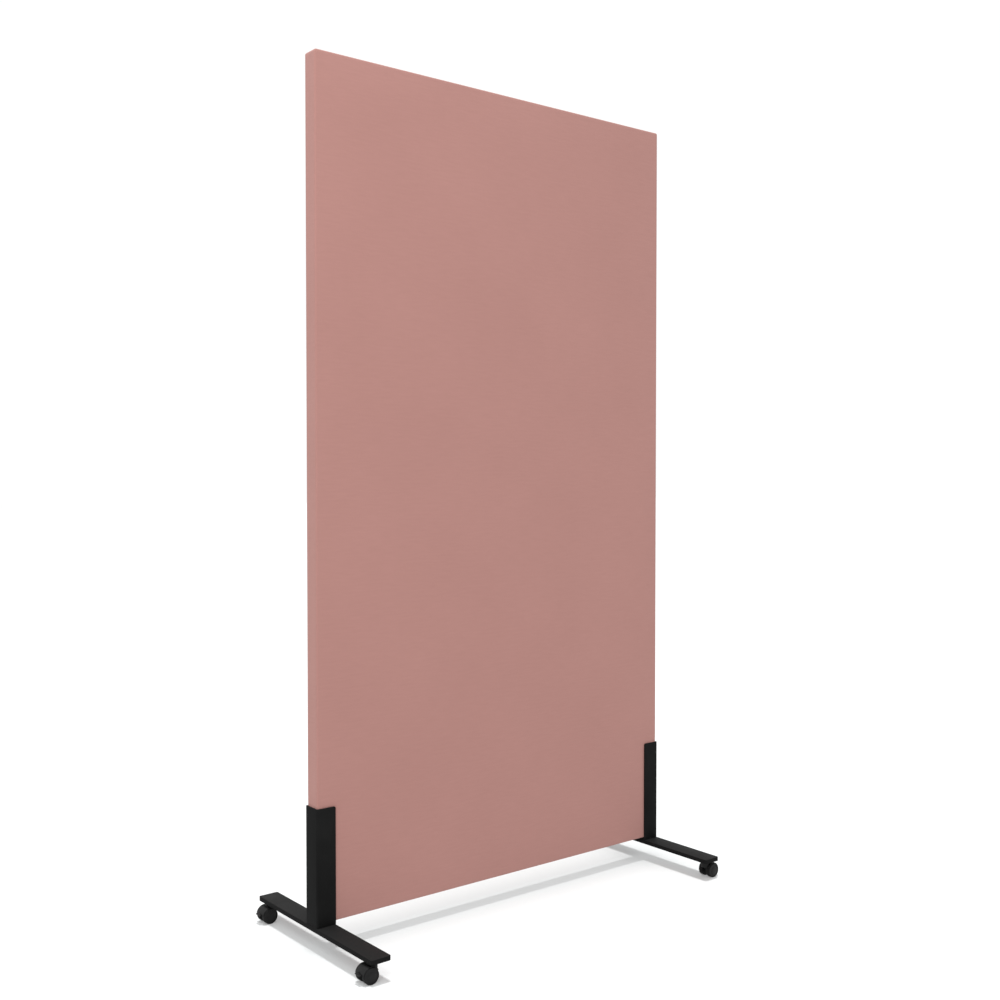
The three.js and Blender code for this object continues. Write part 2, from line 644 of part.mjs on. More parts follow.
function buildLever() {
  const pedalNear = PEDAL_START + PEDAL_RADIUS;
  const pedalFar = PEDAL_START + PEDAL_REACH - PEDAL_RADIUS;
  const [near, far] = [PEDAL_RISE, PEDAL_RISE - PEDAL_FALL];
  const arm = link(PIVOT_X, PIVOT_Z, LEVER_HUB_RADIUS, pedalNear, near, LEVER_ARM_RADIUS);
  const pedal = link(pedalNear, near, PEDAL_RADIUS, pedalFar, far, PEDAL_RADIUS);
  const bore = crossRod(
    LEVER_PIN_DIAMETER / 2 + FIT,
    PIVOT_X,
    PIVOT_Z,
    -LEVER_THICKNESS,
    LEVER_THICKNESS,
  );
  const lever = join(
    sideways(arm, LEVER_THICKNESS),
    sideways(pedal, PEDAL_WIDTH, PEDAL_SIDE_RADIUS),
  );
  return cut(lever, bore).translate(CASTER_TRAIL, 0, WHEEL_RADIUS);
}

// A solid wheel with rounded shoulders and a blind axle bore, on the +Y side of the web.
// A facet, not an edge, lies on the floor, at exactly the wheel's radius.
function buildWheel() {
  const rim = WHEEL_RADIUS - WHEEL_SHOULDER;
  const crownStart = WHEEL_WIDTH - WHEEL_CROWN;
  const boreDepth = AXLE_IN_WHEEL + FIT;
  const profile = [
    [0, boreDepth],
    [AXLE_BORE_RADIUS, boreDepth],
    [AXLE_BORE_RADIUS, 0],
    [WHEEL_RADIUS - WHEEL_CHAMFER, 0],
    [WHEEL_RADIUS, WHEEL_CHAMFER],
  ];
  for (let i = 0; i <= SHOULDER_STEPS; i += 1) {
    const angle = (i / SHOULDER_STEPS) * (Math.PI / 2);
    const radius = rim + WHEEL_SHOULDER * Math.cos(angle);
    profile.push([radius, crownStart - WHEEL_SHOULDER * (1 - Math.sin(angle))]);
  }
  for (let i = 1; i <= CROWN_STEPS; i += 1) {
    const share = 1 - i / CROWN_STEPS;
    profile.push([rim * share, WHEEL_WIDTH - WHEEL_CROWN * share * share]);
  }
  const outside = 1 / Math.cos(Math.PI / WHEEL_FACETS);
  const points = profile.map(([radius, y]) => new THREE.Vector2(radius * outside, y));
  return new THREE.LatheGeometry(points, WHEEL_FACETS)
    .rotateY(Math.PI / WHEEL_FACETS)
    .translate(0, WHEEL_INNER_FACE, 0);
}

// The stem screws into the foot plate; the housing turns on its pin.
function buildStem() {
  const pin = STEM_PIN_DIAMETER / 2;
  const grooveLow = STEM_TIP + STEM_GROOVE_RISE;
  const shaft = turned([
    [0, STEM_TIP],
    [pin, STEM_TIP],
    [pin, grooveLow],
    [pin - STEM_GROOVE_DEPTH, grooveLow],
    [pin - STEM_GROOVE_DEPTH, grooveLow + STEM_GROOVE_WIDTH],
    [pin, grooveLow + STEM_GROOVE_WIDTH],
    [pin, STEM_HEX_BOTTOM + STEM_HEX_HEIGHT / 2],
    [STEM_THREAD_DIAMETER / 2, STEM_HEX_BOTTOM + STEM_HEX_HEIGHT / 2],
    [STEM_THREAD_DIAMETER / 2, STEM_HEX_TOP + STEM_THREAD_LENGTH],
    [0, STEM_HEX_TOP + STEM_THREAD_LENGTH],
  ]);
  return join(shaft, hexagon(STEM_HEX, STEM_HEX_BOTTOM, STEM_HEX_TOP));
}

function buildCasters() {
  const casters = new THREE.Group();
  const stem = buildStem();
  const housing = buildHousing();
  const lever = buildLever();
  const wheel = buildWheel();
  const axleHalf = WHEEL_INNER_FACE + AXLE_IN_WHEEL;
  const axle = crossRod(AXLE_DIAMETER / 2, CASTER_TRAIL, WHEEL_RADIUS, -axleHalf, axleHalf);
  for (const [end, endSign] of [
    ["front", -1],
    ["rear", 1],
  ]) {
    for (const [side, sideSign] of [
      ["left", -1],
      ["right", 1],
    ]) {
      const caster = new THREE.Group();
      const name = end + "_" + side + "_caster_";
      caster.position.set(sideSign * CASTER_X, endSign * CASTER_Y, 0);
      caster.rotation.z = sideSign > 0 ? 0 : Math.PI;
      addPiece(caster, name + "stem", stem, ZINC_STEEL);
      addPiece(caster, name + "housing", housing, NYLON_BLACK);
      addPiece(caster, name + "axle", axle, ZINC_STEEL);
      addPiece(caster, name + "brake_lever", lever, NYLON_BLACK);
      for (const wheelSign of [-1, 1]) {
        const turnedWheel = wheel.clone().rotateX(wheelSign > 0 ? 0 : Math.PI);
        turnedWheel.translate(CASTER_TRAIL, 0, WHEEL_RADIUS);
        const wheelEnd = wheelSign * sideSign > 0 ? "rear" : "front";
        addPiece(caster, name + wheelEnd + "_wheel", turnedWheel, WHEEL_BLACK);
      }
      casters.add(caster);
    }
  }
  return casters;
}

// ---------------------------------------------------------------- the whole partition

const partition = new THREE.Group();
partition.add(buildPanel());
partition.add(buildSideFixings());
partition.add(buildFeet());
partition.add(buildCasters());

export default partition;
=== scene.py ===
import json
import math
from contextlib import contextmanager

import bmesh
import bpy
from bpy.props import FloatProperty, FloatVectorProperty, PointerProperty
from mathutils import Matrix, Vector


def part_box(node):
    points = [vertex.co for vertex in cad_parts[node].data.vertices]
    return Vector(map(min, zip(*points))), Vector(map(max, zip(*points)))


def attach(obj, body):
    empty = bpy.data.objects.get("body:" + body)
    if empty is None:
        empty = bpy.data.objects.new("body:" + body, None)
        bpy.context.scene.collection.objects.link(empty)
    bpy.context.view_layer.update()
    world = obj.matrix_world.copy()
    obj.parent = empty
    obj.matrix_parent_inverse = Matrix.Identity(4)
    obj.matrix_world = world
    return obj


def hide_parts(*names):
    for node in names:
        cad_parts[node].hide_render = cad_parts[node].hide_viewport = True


bl_info = {
    "name": "Rolling Partition",
    "version": (1, 0, 0),
    "blender": (4, 5, 0),
    "location": "3D View > Sidebar > Partition",
    "description": "Dresses an upholstered room divider on casters and sets its stage",
    "category": "Object",
}

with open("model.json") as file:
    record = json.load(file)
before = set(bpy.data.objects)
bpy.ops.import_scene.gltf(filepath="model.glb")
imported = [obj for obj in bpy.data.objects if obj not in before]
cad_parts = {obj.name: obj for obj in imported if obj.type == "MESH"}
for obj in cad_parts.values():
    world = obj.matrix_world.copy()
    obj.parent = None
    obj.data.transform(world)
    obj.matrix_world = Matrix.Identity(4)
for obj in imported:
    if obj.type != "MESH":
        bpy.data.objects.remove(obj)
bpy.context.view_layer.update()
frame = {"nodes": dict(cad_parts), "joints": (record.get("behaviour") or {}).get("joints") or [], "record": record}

MM = 0.001
TINY = 1e-6
STRAIGHT = 0.999  # cosine between an edge and the axis that it runs along
BODY = "partition"
SIDES = {"left": -1, "right": 1}
ENDS = {"front": -1, "rear": 1}

FIT = 0.3 * MM  # clearance between pieces that seat on each other, as in the solids
PAST = 1 * MM  # how far a cutting tool stands out of what it cuts
DRILL_REACH = 8 * MM  # the same for the drill through an upright's flange
NUT_REACH = 5 * MM  # and for the one through a weld nut
TAB_RELIEF = 1 * MM  # from an upright's base tab to its flanges

# Panel and its stretched cloth
PANEL_CORNER = 5 * MM
PANEL_RIM = 3 * MM
GRID_MARGIN = 8 * MM
CLASP_BLEND = 12 * MM  # pressed cloth rises to its full thickness over this
CLASP_FADE = 50 * MM  # and it swells freely this far from the uprights
RIM_FADE = 60 * MM  # and from the panel's rims
PULL_SPACING = 85 * MM  # pull marks at the bottom edge, and how far they reach up
PULL_REACH = 45 * MM

# Screws, nuts and their holes
SCREW_RADIUS = 3 * MM
SCREW_TIP = 0.6 * MM
SCREW_HOLE = 3.3 * MM
BUTTON_RADIUS = 5.25 * MM
BUTTON_HEIGHT = 3.3 * MM
BUTTON_DOME = 2.2 * MM
BUTTON_LENGTH = 21.3 * MM
SUNK_RADIUS = 6 * MM
SUNK_HEIGHT = 3.3 * MM
SUNK_LENGTH = 15.6 * MM
SINK_RADIUS = 6.3 * MM
SOCKET_RADIUS = 4 * MM / math.sqrt(3)
SOCKET_DEPTH = 2 * MM
NUT_RADIUS = 5.77 * MM
STEM_HOLE = 4.3 * MM

# Caster, in its own frame: swivel axis on Z, floor at 0, trailing towards +X
TRAIL = 11 * MM
WHEEL_RADIUS = 17 * MM
WHEEL_INNER_FACE = 6 * MM
WHEEL_WIDTH = 12.5 * MM
WHEEL_CROWN = 1 * MM
WHEEL_SHOULDER = 1.8 * MM
WHEEL_CHAMFER = 1.2 * MM
WHEEL_BORE_DEPTH = 8.8 * MM
TREAD_DEPTH = 1 * MM
WEB_HALF = 5.4 * MM
HOOD_INNER = 17.6 * MM
HOOD_RADIUS = 18.9 * MM
HOOD_HALF = 15.5 * MM
HOOD_EDGE = 0.9 * MM
HOOD_LEADING = math.radians(150)
HOOD_TRAILING = math.radians(12)
BOSS_RADIUS = 6.5 * MM
BOSS_LEADING = math.radians(215)
BOSS_TRAILING = math.radians(325)
BOSS_DEPTH = 0.97 * BOSS_RADIUS  # from the axle down to the web's flat foot
BOSS_EDGE = 2.2 * MM
NECK_RADIUS = 11 * MM
NECK_BOTTOM = 24.9 * MM
NECK_TOP = 41.2 * MM
NECK_EDGE = 0.8 * MM
STEM_BORE = 3.3 * MM
STEM_TIP = 27.7 * MM
STEM_HEX_RADIUS = 7.23 * MM
STEM_HEX_BOTTOM = 39.7 * MM
AXLE_BORE = 2.3 * MM
LEVER_HALF = 2.7 * MM
LEVER_PIVOT = (10.426 * MM, 5.085 * MM)
LEVER_HUB = 3 * MM
LEVER_ARM = 1.5 * MM
LEVER_PIN = 1.2 * MM
SLOT_INNER = 7.6 * MM
SLOT_ANGLES = (math.radians(-60), math.radians(50))
NOTCH_ANGLES = (math.radians(-60), math.radians(24))
PEDAL_NEAR = (20.6 * MM, 4.2 * MM)
PEDAL_FAR = (22.4 * MM, 3.4 * MM)
PEDAL_RADIUS = 1.2 * MM
PEDAL_HALF = 9.5 * MM
PEDAL_EDGE = 0.6 * MM
RIB_RADIUS = 0.3 * MM
RIB_HALF = 0.8 * PEDAL_HALF
RIB_RISE = 0.95 * PEDAL_RADIUS

# A wheel's outer face from its rim inwards, in mm: each ring's width and rise over the last
WHEEL_RINGS = (
    (1.1, 0.05),
    (0.35, -0.7),
    (1.0, 0.1),
    (3.6, 0.25),
    (0.3, 0.45),
    (0.5, 0.2),
    (2.5, 0.35),
    (2.5, 0.2),
)

# Sockets of the Mix node when it mixes colours
MIX_A, MIX_B, MIX_RESULT = 6, 7, 2


def linear(hex_code):
    """An sRGB hex colour as linear red, green, blue and a full alpha."""
    channels = [int(hex_code[i : i + 2], 16) / 255 for i in (0, 2, 4)]
    light = [c / 12.92 if c <= 0.04045 else ((c + 0.055) / 1.055) ** 2.4 for c in channels]
    return (*light, 1.0)


# Stage, in metres, watts and radians
WHITE = linear("ffffff")
FLOOR_SIZE = 60
FLOOR_GLOW = 0.2
FLOOR_PATCH = 0.5
FLOOR_SHADES = (linear("b7b9b9"), linear("b9bbbb"))
SKY_STRENGTH = 1.02
CEILING_STRENGTH = 2.9
CEILING_SPREAD = math.radians(8)
LAMPS = {
    "front_lamp": ((-2.15, -2.0, 3.0), 51),
    "rear_lamp": ((2.15, 2.0, 3.0), 5),
}
LAMP_DIAMETER = 1.6
LAMP_AIM = Vector((0, 0, 1.5))
SENSOR_MM = 36.0
FOCAL_RATIO = 1211.607 / 1000  # focal length over the picture's width
CAMERA_PLACE = (-1.765788, -2.190171, 1.000441)
CAMERA_DIP = 0.024729
CAMERA_TURN = -0.678649


# ---- sizes and colours


def length(name, description, default):
    return FloatProperty(
        name=name, description=description, default=default, min=0.0, precision=5, unit="LENGTH"
    )


def colour(name, description, hex_code):
    return FloatVectorProperty(
        name=name,
        description=description,
        default=linear(hex_code),
        size=4,
        min=0.0,
        max=1.0,
        subtype="COLOR",
    )


class PartitionSizes(bpy.types.PropertyGroup):
    """Sizes of the finish, and those of the solids that their boxes don't give."""

    thread: length("Thread", "Width of one drawn thread of the cloth", 2.2 * MM)
    slub: length("Slub", "Length of a thick place in the yarn", 38 * MM)
    wander: length("Wander", "Size of the bends in the yarn", 14 * MM)
    blotch: length("Blotch", "Size of the cloth's paler and deeper patches", 240 * MM)
    cloth: length("Cloth", "Thickness of the cover cloth", 1.2 * MM)
    cover_grid: length("Cover grid", "Spacing of the cover's mesh", 16 * MM)
    filling_grid: length("Filling grid", "Spacing of the fillings' meshes", 45 * MM)
    unevenness: length("Unevenness", "How deep the fillings' faces sink", 0.5 * MM)
    swell: length("Swell", "How far the wadding pushes the cloth out", 0.9 * MM)
    ripple: length("Ripple", "Height of the soft waves in the stretched cloth", 0.5 * MM)
    squeeze: length("Squeeze", "How far the uprights press the cloth in", 0.4 * MM)
    sheet: length("Sheet", "Thickness of the uprights' steel sheet", 3.5 * MM)
    bend: length("Bend", "Outer radius of the uprights' bends", 4.5 * MM)
    tab: length("Base tab", "Thickness of the tab that stands on the foot plate", 2.5 * MM)
    flange_corner: length("Flange corner", "Radius of the flanges' upper corners", 3.5 * MM)
    plate_corner: length("Plate corner", "Radius of the foot plates' corners", 4 * MM)
    plate_edge: length("Plate edge", "Radius of the foot plates' rims", 0.8 * MM)
    sheet_edge: length("Sheet edge", "Radius of the uprights' cut edges", 0.35 * MM)
    coat_grain: length("Coat grain", "Grain of the powder coat", 1.1 * MM)
    mould_grain: length("Mould grain", "Grain of the moulded casters", 0.6 * MM)


class PartitionColours(bpy.types.PropertyGroup):
    """Colours of the partition."""

    cloth_light: colour("Cloth, light", "Raised yarn of the cover", "a47871")
    cloth_deep: colour("Cloth, deep", "Shaded yarn of the cover", "986e67")
    coat: colour("Powder coat", "Black paint of the uprights and foot plates", "151515")
    coat_dull: colour("Powder coat, dull", "The same paint where it has dulled", "1a1a1a")
    # Painted highlight: the paler paint on faces that look up stands in for light from above
    coat_dust: colour("Powder coat, painted top light", "Painted highlight on the faces that look up", "1f1f1f")
    nylon: colour("Nylon", "Housings and brake levers", "121212")
    nylon_grey: colour("Nylon, worn", "The same where it has scuffed", "181818")
    tread: colour("Tread", "Running surface of the wheels", "121212")
    zinc: colour("Zinc", "Stems, axles and inserts", "a9adb0")
    zinc_bloom: colour("Zinc, bloomed", "The same where it has greyed", "8d9196")
    oxide: colour("Black oxide", "Screws", "1b1b1d")
    oxide_worn: colour("Black oxide, worn", "The same where it has rubbed", "2b2b2e")
    strip: colour("Closing strip", "Strip along the panel's bottom edge", "242423")
    strip_dull: colour("Closing strip, dull", "The same where it has dulled", "2e2e2d")
    pine: colour("Pine", "Panel frame", "cfae80")
    pine_ring: colour("Pine, late wood", "Dark rings of the panel frame", "a87f4e")
    wadding: colour("Wadding", "Fibre layer under the cloth", "e2ded4")
    wadding_deep: colour("Wadding, deep", "Its denser clouds", "cfcabd")
    felt: colour("Felt", "Cores of the panel", "8b8b86")
    felt_fleck: colour("Felt, fleck", "Dark flecks of the cores", "6d6d69")


# ---- materials


def new_material(name):
    material = bpy.data.materials.new(name)
    material.use_nodes = True
    return material, material.node_tree, material.node_tree.nodes["Principled BSDF"]


def add(tree, kind, inputs, **settings):
    """Adds a node with its settings; an input that is given as a socket is linked."""
    node = tree.nodes.new("ShaderNode" + kind)
    for name, value in settings.items():
        setattr(node, name, value)
    for name, value in inputs.items():
        if isinstance(value, bpy.types.NodeSocket):
            tree.links.new(value, node.inputs[name])
        else:
            node.inputs[name].default_value = value
    return node


def connect(tree, socket, shader, name):
    tree.links.new(socket, shader.inputs[name])


def calculate(tree, operation, *values):
    """The result of a Math node on numbers or sockets."""
    return add(tree, "Math", dict(enumerate(values)), operation=operation).outputs[0]


def noise(tree, place, size, detail):
    """Noise whose patches are about as wide as a size."""
    return add(tree, "TexNoise", {"Vector": place, "Scale": 1 / size, "Detail": detail})


def remap(tree, value, source, target):
    """A value with one range stretched to another."""
    ranges = dict(enumerate((*source, *target), start=1))
    return add(tree, "MapRange", {0: value, **ranges}).outputs[0]


def tint(tree, shader, share, first, second):
    """Mixes the shader's colour from two colours or sockets."""
    mix = add(tree, "Mix", {0: share, MIX_A: first, MIX_B: second}, data_type="RGBA")
    connect(tree, mix.outputs[MIX_RESULT], shader, "Base Color")


def emboss(tree, shader, height, strength, depth):
    bump = add(tree, "Bump", {"Height": height, "Strength": strength, "Distance": depth})
    connect(tree, bump.outputs[0], shader, "Normal")


def woven_polyester(sizes, colours):
    """Polyester yarn, piece-dyed and woven plain: matt, faintly hairy, with uneven yarn.

    The real threads are about 0.8 mm wide and too fine to show, so they are drawn coarser.
    """
    material, tree, shader = new_material("woven_polyester")
    shader.inputs["Roughness"].default_value = 0.92
    shader.inputs["Specular IOR Level"].default_value = 0.25
    shader.inputs["Sheen Weight"].default_value = 0.12
    shader.inputs["Sheen Roughness"].default_value = 0.5
    place = add(tree, "UVMap", {}, uv_map="cloth").outputs["UV"]

    # Yarn wanders a little, so the weave isn't ruled.
    sway = noise(tree, place, sizes.wander, 1.0).outputs["Color"]
    offset = add(tree, "VectorMath", {0: sway, 1: (0.5, 0.5, 0.5)}, operation="SUBTRACT")
    nudge = add(
        tree,
        "VectorMath",
        {0: offset.outputs[0], "Scale": 0.9 * sizes.thread},
        operation="SCALE",
    )
    yarn = add(tree, "VectorMath", {0: place, 1: nudge.outputs[0]}, operation="ADD").outputs[0]

    # Over and under: each thread is a half round ridge, on top in every other cell.
    split = add(tree, "SeparateXYZ", {"Vector": yarn})
    ridges = []
    for axis in ("X", "Y"):
        turns = calculate(tree, "MULTIPLY", split.outputs[axis], math.pi / sizes.thread)
        ridges.append(calculate(tree, "ABSOLUTE", calculate(tree, "SINE", turns)))
    over = add(tree, "TexChecker", {"Vector": yarn, "Scale": 1 / sizes.thread}).outputs["Fac"]
    weave = add(tree, "Mix", {0: over, 2: ridges[0], 3: ridges[1]}, data_type="FLOAT").outputs[0]

    # Slubs run with the weft and are a shade lighter where the yarn is thick.
    stretch = (1 / sizes.slub, 1 / (2.2 * sizes.thread), 1.0)
    along = add(tree, "Mapping", {"Vector": yarn, "Scale": stretch}).outputs[0]
    slub = noise(tree, along, 1.0, 4.0).outputs["Fac"]
    blotch = noise(tree, place, sizes.blotch, 2.0).outputs["Fac"]
    lit = remap(tree, weave, (0.0, 1.0), (0.25, 0.75))
    uneven = remap(tree, slub, (0.3, 0.7), (-0.12, 0.12))
    drift = remap(tree, blotch, (0.3, 0.7), (-0.1, 0.1))
    share = calculate(tree, "ADD", calculate(tree, "ADD", lit, uneven), drift)
    tint(tree, shader, share, colours.cloth_deep, colours.cloth_light)
    relief = calculate(tree, "MULTIPLY_ADD", slub, 0.3, weave)
    emboss(tree, shader, relief, 0.45, 0.3 * MM)
    return material


def grained(
    name, grain, patch, shades, roughness, depth, specular=0.5, metallic=0.0, stretch=(1, 1, 1)
):
    """A fine moulded, painted or rolled grain over slow patches of two close shades."""
    material, tree, shader = new_material(name)
    shader.inputs["Specular IOR Level"].default_value = specular
    shader.inputs["Metallic"].default_value = metallic
    place = add(tree, "TexCoord", {}).outputs["Object"]
    along = add(tree, "Mapping", {"Vector": place, "Scale": stretch}).outputs[0]
    fine = noise(tree, along, grain, 2.0).outputs["Fac"]
    slow = noise(tree, along, patch, 3.0).outputs["Fac"]
    both = calculate(tree, "MULTIPLY_ADD", fine, 0.35, slow)
    share = remap(tree, both, (0.5, 0.85), (0.0, 1.0))
    tint(tree, shader, share, *shades)
    connect(tree, remap(tree, share, (0.0, 1.0), roughness), shader, "Roughness")
    emboss(tree, shader, fine, 0.4, depth)
    return material


def powder_coated_steel(sizes, colours):
    """Black polyester powder, sprayed and baked on steel: matt, with a faint orange peel.

    A painted highlight greys the faces that look up, standing in for the light that falls on them from above.
    """
    material = grained(
        "powder_coated_steel",
        grain=sizes.coat_grain,
        patch=70 * MM,
        shades=(colours.coat, colours.coat_dull),
        roughness=(0.5, 0.62),
        depth=0.12 * MM,
        specular=0.02,
    )
    tree = material.node_tree
    shader = tree.nodes["Principled BSDF"]
    paint = shader.inputs["Base Color"].links[0].from_socket
    # Painted highlight: faces that look up are mixed towards a paler paint, standing in for light from above
    facing = add(tree, "TexCoord", {}).outputs["Normal"]
    height = add(tree, "SeparateXYZ", {"Vector": facing}).outputs["Z"]
    painted_top_light = remap(tree, height, (0.4, 0.95), (0.0, 0.9))
    tint(tree, shader, painted_top_light, paint, colours.coat_dust)
    return material


def moulded_nylon(sizes, colours):
    """Black nylon from a spark-eroded mould: satin, with a fine even grain and light scuffs."""
    return grained(
        "moulded_nylon",
        grain=sizes.mould_grain,
        patch=9 * MM,
        shades=(colours.nylon, colours.nylon_grey),
        roughness=(0.42, 0.56),
        depth=0.06 * MM,
        specular=0.16,
    )


def polyurethane_tread(sizes, colours):
    """Black polyurethane, cast and turned: duller than the nylon, with fine lines round it."""
    return grained(
        "polyurethane_tread",
        grain=sizes.mould_grain,
        patch=6 * MM,
        shades=(colours.tread, colours.nylon_grey),
        roughness=(0.6, 0.75),
        depth=0.05 * MM,
        specular=0.1,
        stretch=(1, 4, 1),
    )


def zinc_plated_steel(sizes, colours):
    """Turned steel, plated with zinc: bright, with fine turning marks and a grey bloom."""
    return grained(
        "zinc_plated_steel",
        grain=0.5 * MM,
        patch=12 * MM,
        shades=(colours.zinc, colours.zinc_bloom),
        roughness=(0.28, 0.45),
        depth=0.02 * MM,
        metallic=1.0,
    )


def black_oxide_steel(sizes, colours):
    """Forged screws, black-oxidised and oiled: dark, with a soft metal gleam."""
    return grained(
        "black_oxide_steel",
        grain=0.4 * MM,
        patch=5 * MM,
        shades=(colours.oxide, colours.oxide_worn),
        roughness=(0.38, 0.52),
        depth=0.02 * MM,
        metallic=0.7,
    )


def extruded_pvc(sizes, colours):
    """Black PVC strip, extruded: matt, with die lines along its length."""
    return grained(
        "extruded_pvc",
        grain=0.7 * MM,
        patch=15 * MM,
        shades=(colours.strip, colours.strip_dull),
        roughness=(0.55, 0.7),
        depth=0.05 * MM,
        specular=0.35,
        stretch=(0.04, 1, 1),
    )


def needled_wadding(sizes, colours):
    """Polyester fibre, needled into a mat: white, matt and cloudy."""
    return grained(
        "needled_wadding",
        grain=1.5 * MM,
        patch=20 * MM,
        shades=(colours.wadding, colours.wadding_deep),
        roughness=(0.95, 1.0),
        depth=0.8 * MM,
        specular=0.1,
    )


def pressed_felt(sizes, colours):
    """Recycled fibre, pressed into a board: grey, with light and dark flecks."""
    return grained(
        "pressed_felt",
        grain=2.5 * MM,
        patch=8 * MM,
        shades=(colours.felt, colours.felt_fleck),
        roughness=(0.95, 1.0),
        depth=0.6 * MM,
        specular=0.1,
    )


def planed_pine(name, stretch, colours):
    """Planed softwood: pale, with broad bands of darker late wood along the bar."""
    material, tree, shader = new_material(name)
    place = add(tree, "TexCoord", {}).outputs["Object"]
    along = add(tree, "Mapping", {"Vector": place, "Scale": stretch}).outputs[0]
    rings = add(
        tree,
        "TexWave",
        {"Vector": along, "Scale": 12.5, "Distortion": 4.0, "Detail": 2.0},
        bands_direction="DIAGONAL",
    ).outputs["Fac"]
    tint(tree, shader, rings, colours.pine, colours.pine_ring)
    connect(tree, remap(tree, rings, (0.0, 1.0), (0.6, 0.75)), shader, "Roughness")
    emboss(tree, shader, rings, 0.3, 0.1 * MM)
    return material


def upright_pine(sizes, colours):
    return planed_pine("upright_pine", (1.0, 1.0, 0.04), colours)


def level_pine(sizes, colours):
    return planed_pine("level_pine", (0.04, 1.0, 1.0), colours)


def plain_floor():
    """Matt studio floor with a faint glow of its own, so that shadows on it stay pale."""
    material, tree, shader = new_material("studio_floor")
    shader.inputs["Roughness"].default_value = 0.9
    shader.inputs["Specular IOR Level"].default_value = 0.1
    shader.inputs["Emission Color"].default_value = WHITE
    shader.inputs["Emission Strength"].default_value = FLOOR_GLOW
    place = add(tree, "TexCoord", {}).outputs["Object"]
    mottle = noise(tree, place, FLOOR_PATCH, 2.0).outputs["Fac"]
    tint(tree, shader, mottle, *FLOOR_SHADES)
    return material


def finish_of(make, context):
    """The material that a function makes, made once."""
    found = bpy.data.materials.get(make.__name__)
    scene = context.scene
    return found or make(scene.partition_sizes, scene.partition_colours)


# ---- modelling


def select_only(*pieces):
    bpy.ops.object.select_all(action="DESELECT")
    for piece in pieces:
        piece.select_set(True)
    bpy.context.view_layer.objects.active = pieces[0]


@contextmanager
def editing(piece):
    """Edit mode on one piece, with nothing selected in it."""
    select_only(piece)
    bpy.ops.object.mode_set(mode="EDIT")
    bpy.ops.mesh.select_all(action="DESELECT")
    yield
    bpy.ops.object.mode_set(mode="OBJECT")


def middle(part):
    """The middle of a face or an edge."""
    return sum((corner.co for corner in part.verts), Vector()) / len(part.verts)


def pick(kind, test):
    """In edit mode, selects the faces or edges that pass a test."""
    mesh = bpy.context.edit_object.data
    bpy.ops.mesh.select_mode(type=kind)
    shape = bmesh.from_edit_mesh(mesh)
    for part in shape.faces if kind == "FACE" else shape.edges:
        part.select_set(test(part))
    bmesh.update_edit_mesh(mesh)


def round_off(test, radius, segments):
    """In edit mode, rounds the edges that pass a test."""
    pick("EDGE", test)
    bpy.ops.mesh.bevel(offset=radius, segments=segments, affect="EDGES")


def open_up(test):
    """In edit mode, deletes the faces that pass a test."""
    pick("FACE", test)
    bpy.ops.mesh.delete(type="FACE")


def along(edge, axis):
    """True for an edge that runs along an axis, given as 0, 1 or 2."""
    run = edge.verts[1].co - edge.verts[0].co
    return run.length > TINY and abs(run.normalized()[axis]) > STRAIGHT


def flat_at(edge, axis, value):
    """True for an edge that lies in the plane where an axis has a value."""
    return all(abs(corner.co[axis] - value) < TINY for corner in edge.verts)


def settle(piece, name):
    """Names a new piece and puts its place into its mesh."""
    piece.name = name
    piece.data.name = name
    bpy.ops.object.transform_apply(location=True, rotation=True, scale=True)
    return piece


def new_box(name, low, high):
    low, high = Vector(low), Vector(high)
    bpy.ops.object.select_all(action="DESELECT")
    bpy.ops.mesh.primitive_cube_add(size=1, location=(low + high) / 2, scale=high - low)
    return settle(bpy.context.object, name)


def new_rod(name, start, end, radius, end_radius=None, sides=64):
    """A rod, or a cone, from one point to another."""
    start, end = Vector(start), Vector(end)
    run = end - start
    bpy.ops.object.select_all(action="DESELECT")
    bpy.ops.mesh.primitive_cone_add(
        vertices=sides,
        radius1=radius,
        radius2=radius if end_radius is None else end_radius,
        depth=run.length,
        location=(start + end) / 2,
        rotation=run.to_track_quat("Z", "Y").to_euler(),
    )
    return settle(bpy.context.object, name)


def apply_modifier(piece, modifier):
    select_only(piece)
    bpy.ops.object.modifier_apply(modifier=modifier.name)


def thicken(piece, thickness):
    """Gives an open shell a wall, inwards."""
    wall = piece.modifiers.new("wall", "SOLIDIFY")
    wall.thickness = thickness
    wall.offset = -1.0
    wall.use_even_offset = True
    apply_modifier(piece, wall)


def combine(piece, operation, *tools):
    """Joins tools to a piece, or cuts them out of it, and removes them."""
    for tool in tools:
        modifier = piece.modifiers.new("combine", "BOOLEAN")
        modifier.operation = operation
        modifier.object = tool
        modifier.solver = "MANIFOLD"
        apply_modifier(piece, modifier)
        bpy.data.objects.remove(tool)


def hull_of(name, *pieces):
    """One convex piece wrapped round several."""
    select_only(*pieces)
    bpy.ops.object.join()
    piece = bpy.context.object
    with editing(piece):
        bpy.ops.mesh.select_all(action="SELECT")
        bpy.ops.mesh.convex_hull()
        bpy.ops.mesh.dissolve_limited(angle_limit=math.radians(0.5))
    return settle(piece, name)


def soften(piece, radius, segments=2, sharper_than=35):
    """Rounds every edge sharper than an angle."""
    modifier = piece.modifiers.new("soften", "BEVEL")
    modifier.width = radius
    modifier.segments = segments
    modifier.limit_method = "ANGLE"
    modifier.angle_limit = math.radians(sharper_than)
    modifier.harden_normals = False
    apply_modifier(piece, modifier)


def slice_off(piece, point, normal):
    """Cuts a piece with a plane, closes the cut and drops what lies in front of it."""
    with editing(piece):
        bpy.ops.mesh.select_all(action="SELECT")
        bpy.ops.mesh.bisect(
            plane_co=point, plane_no=normal, use_fill=True, clear_outer=True, threshold=TINY
        )


def copied(piece, name, placing):
    twin = piece.copy()
    twin.data = piece.data.copy()
    twin.name = name
    twin.data.name = name
    bpy.context.scene.collection.objects.link(twin)
    twin.data.transform(placing)
    return twin


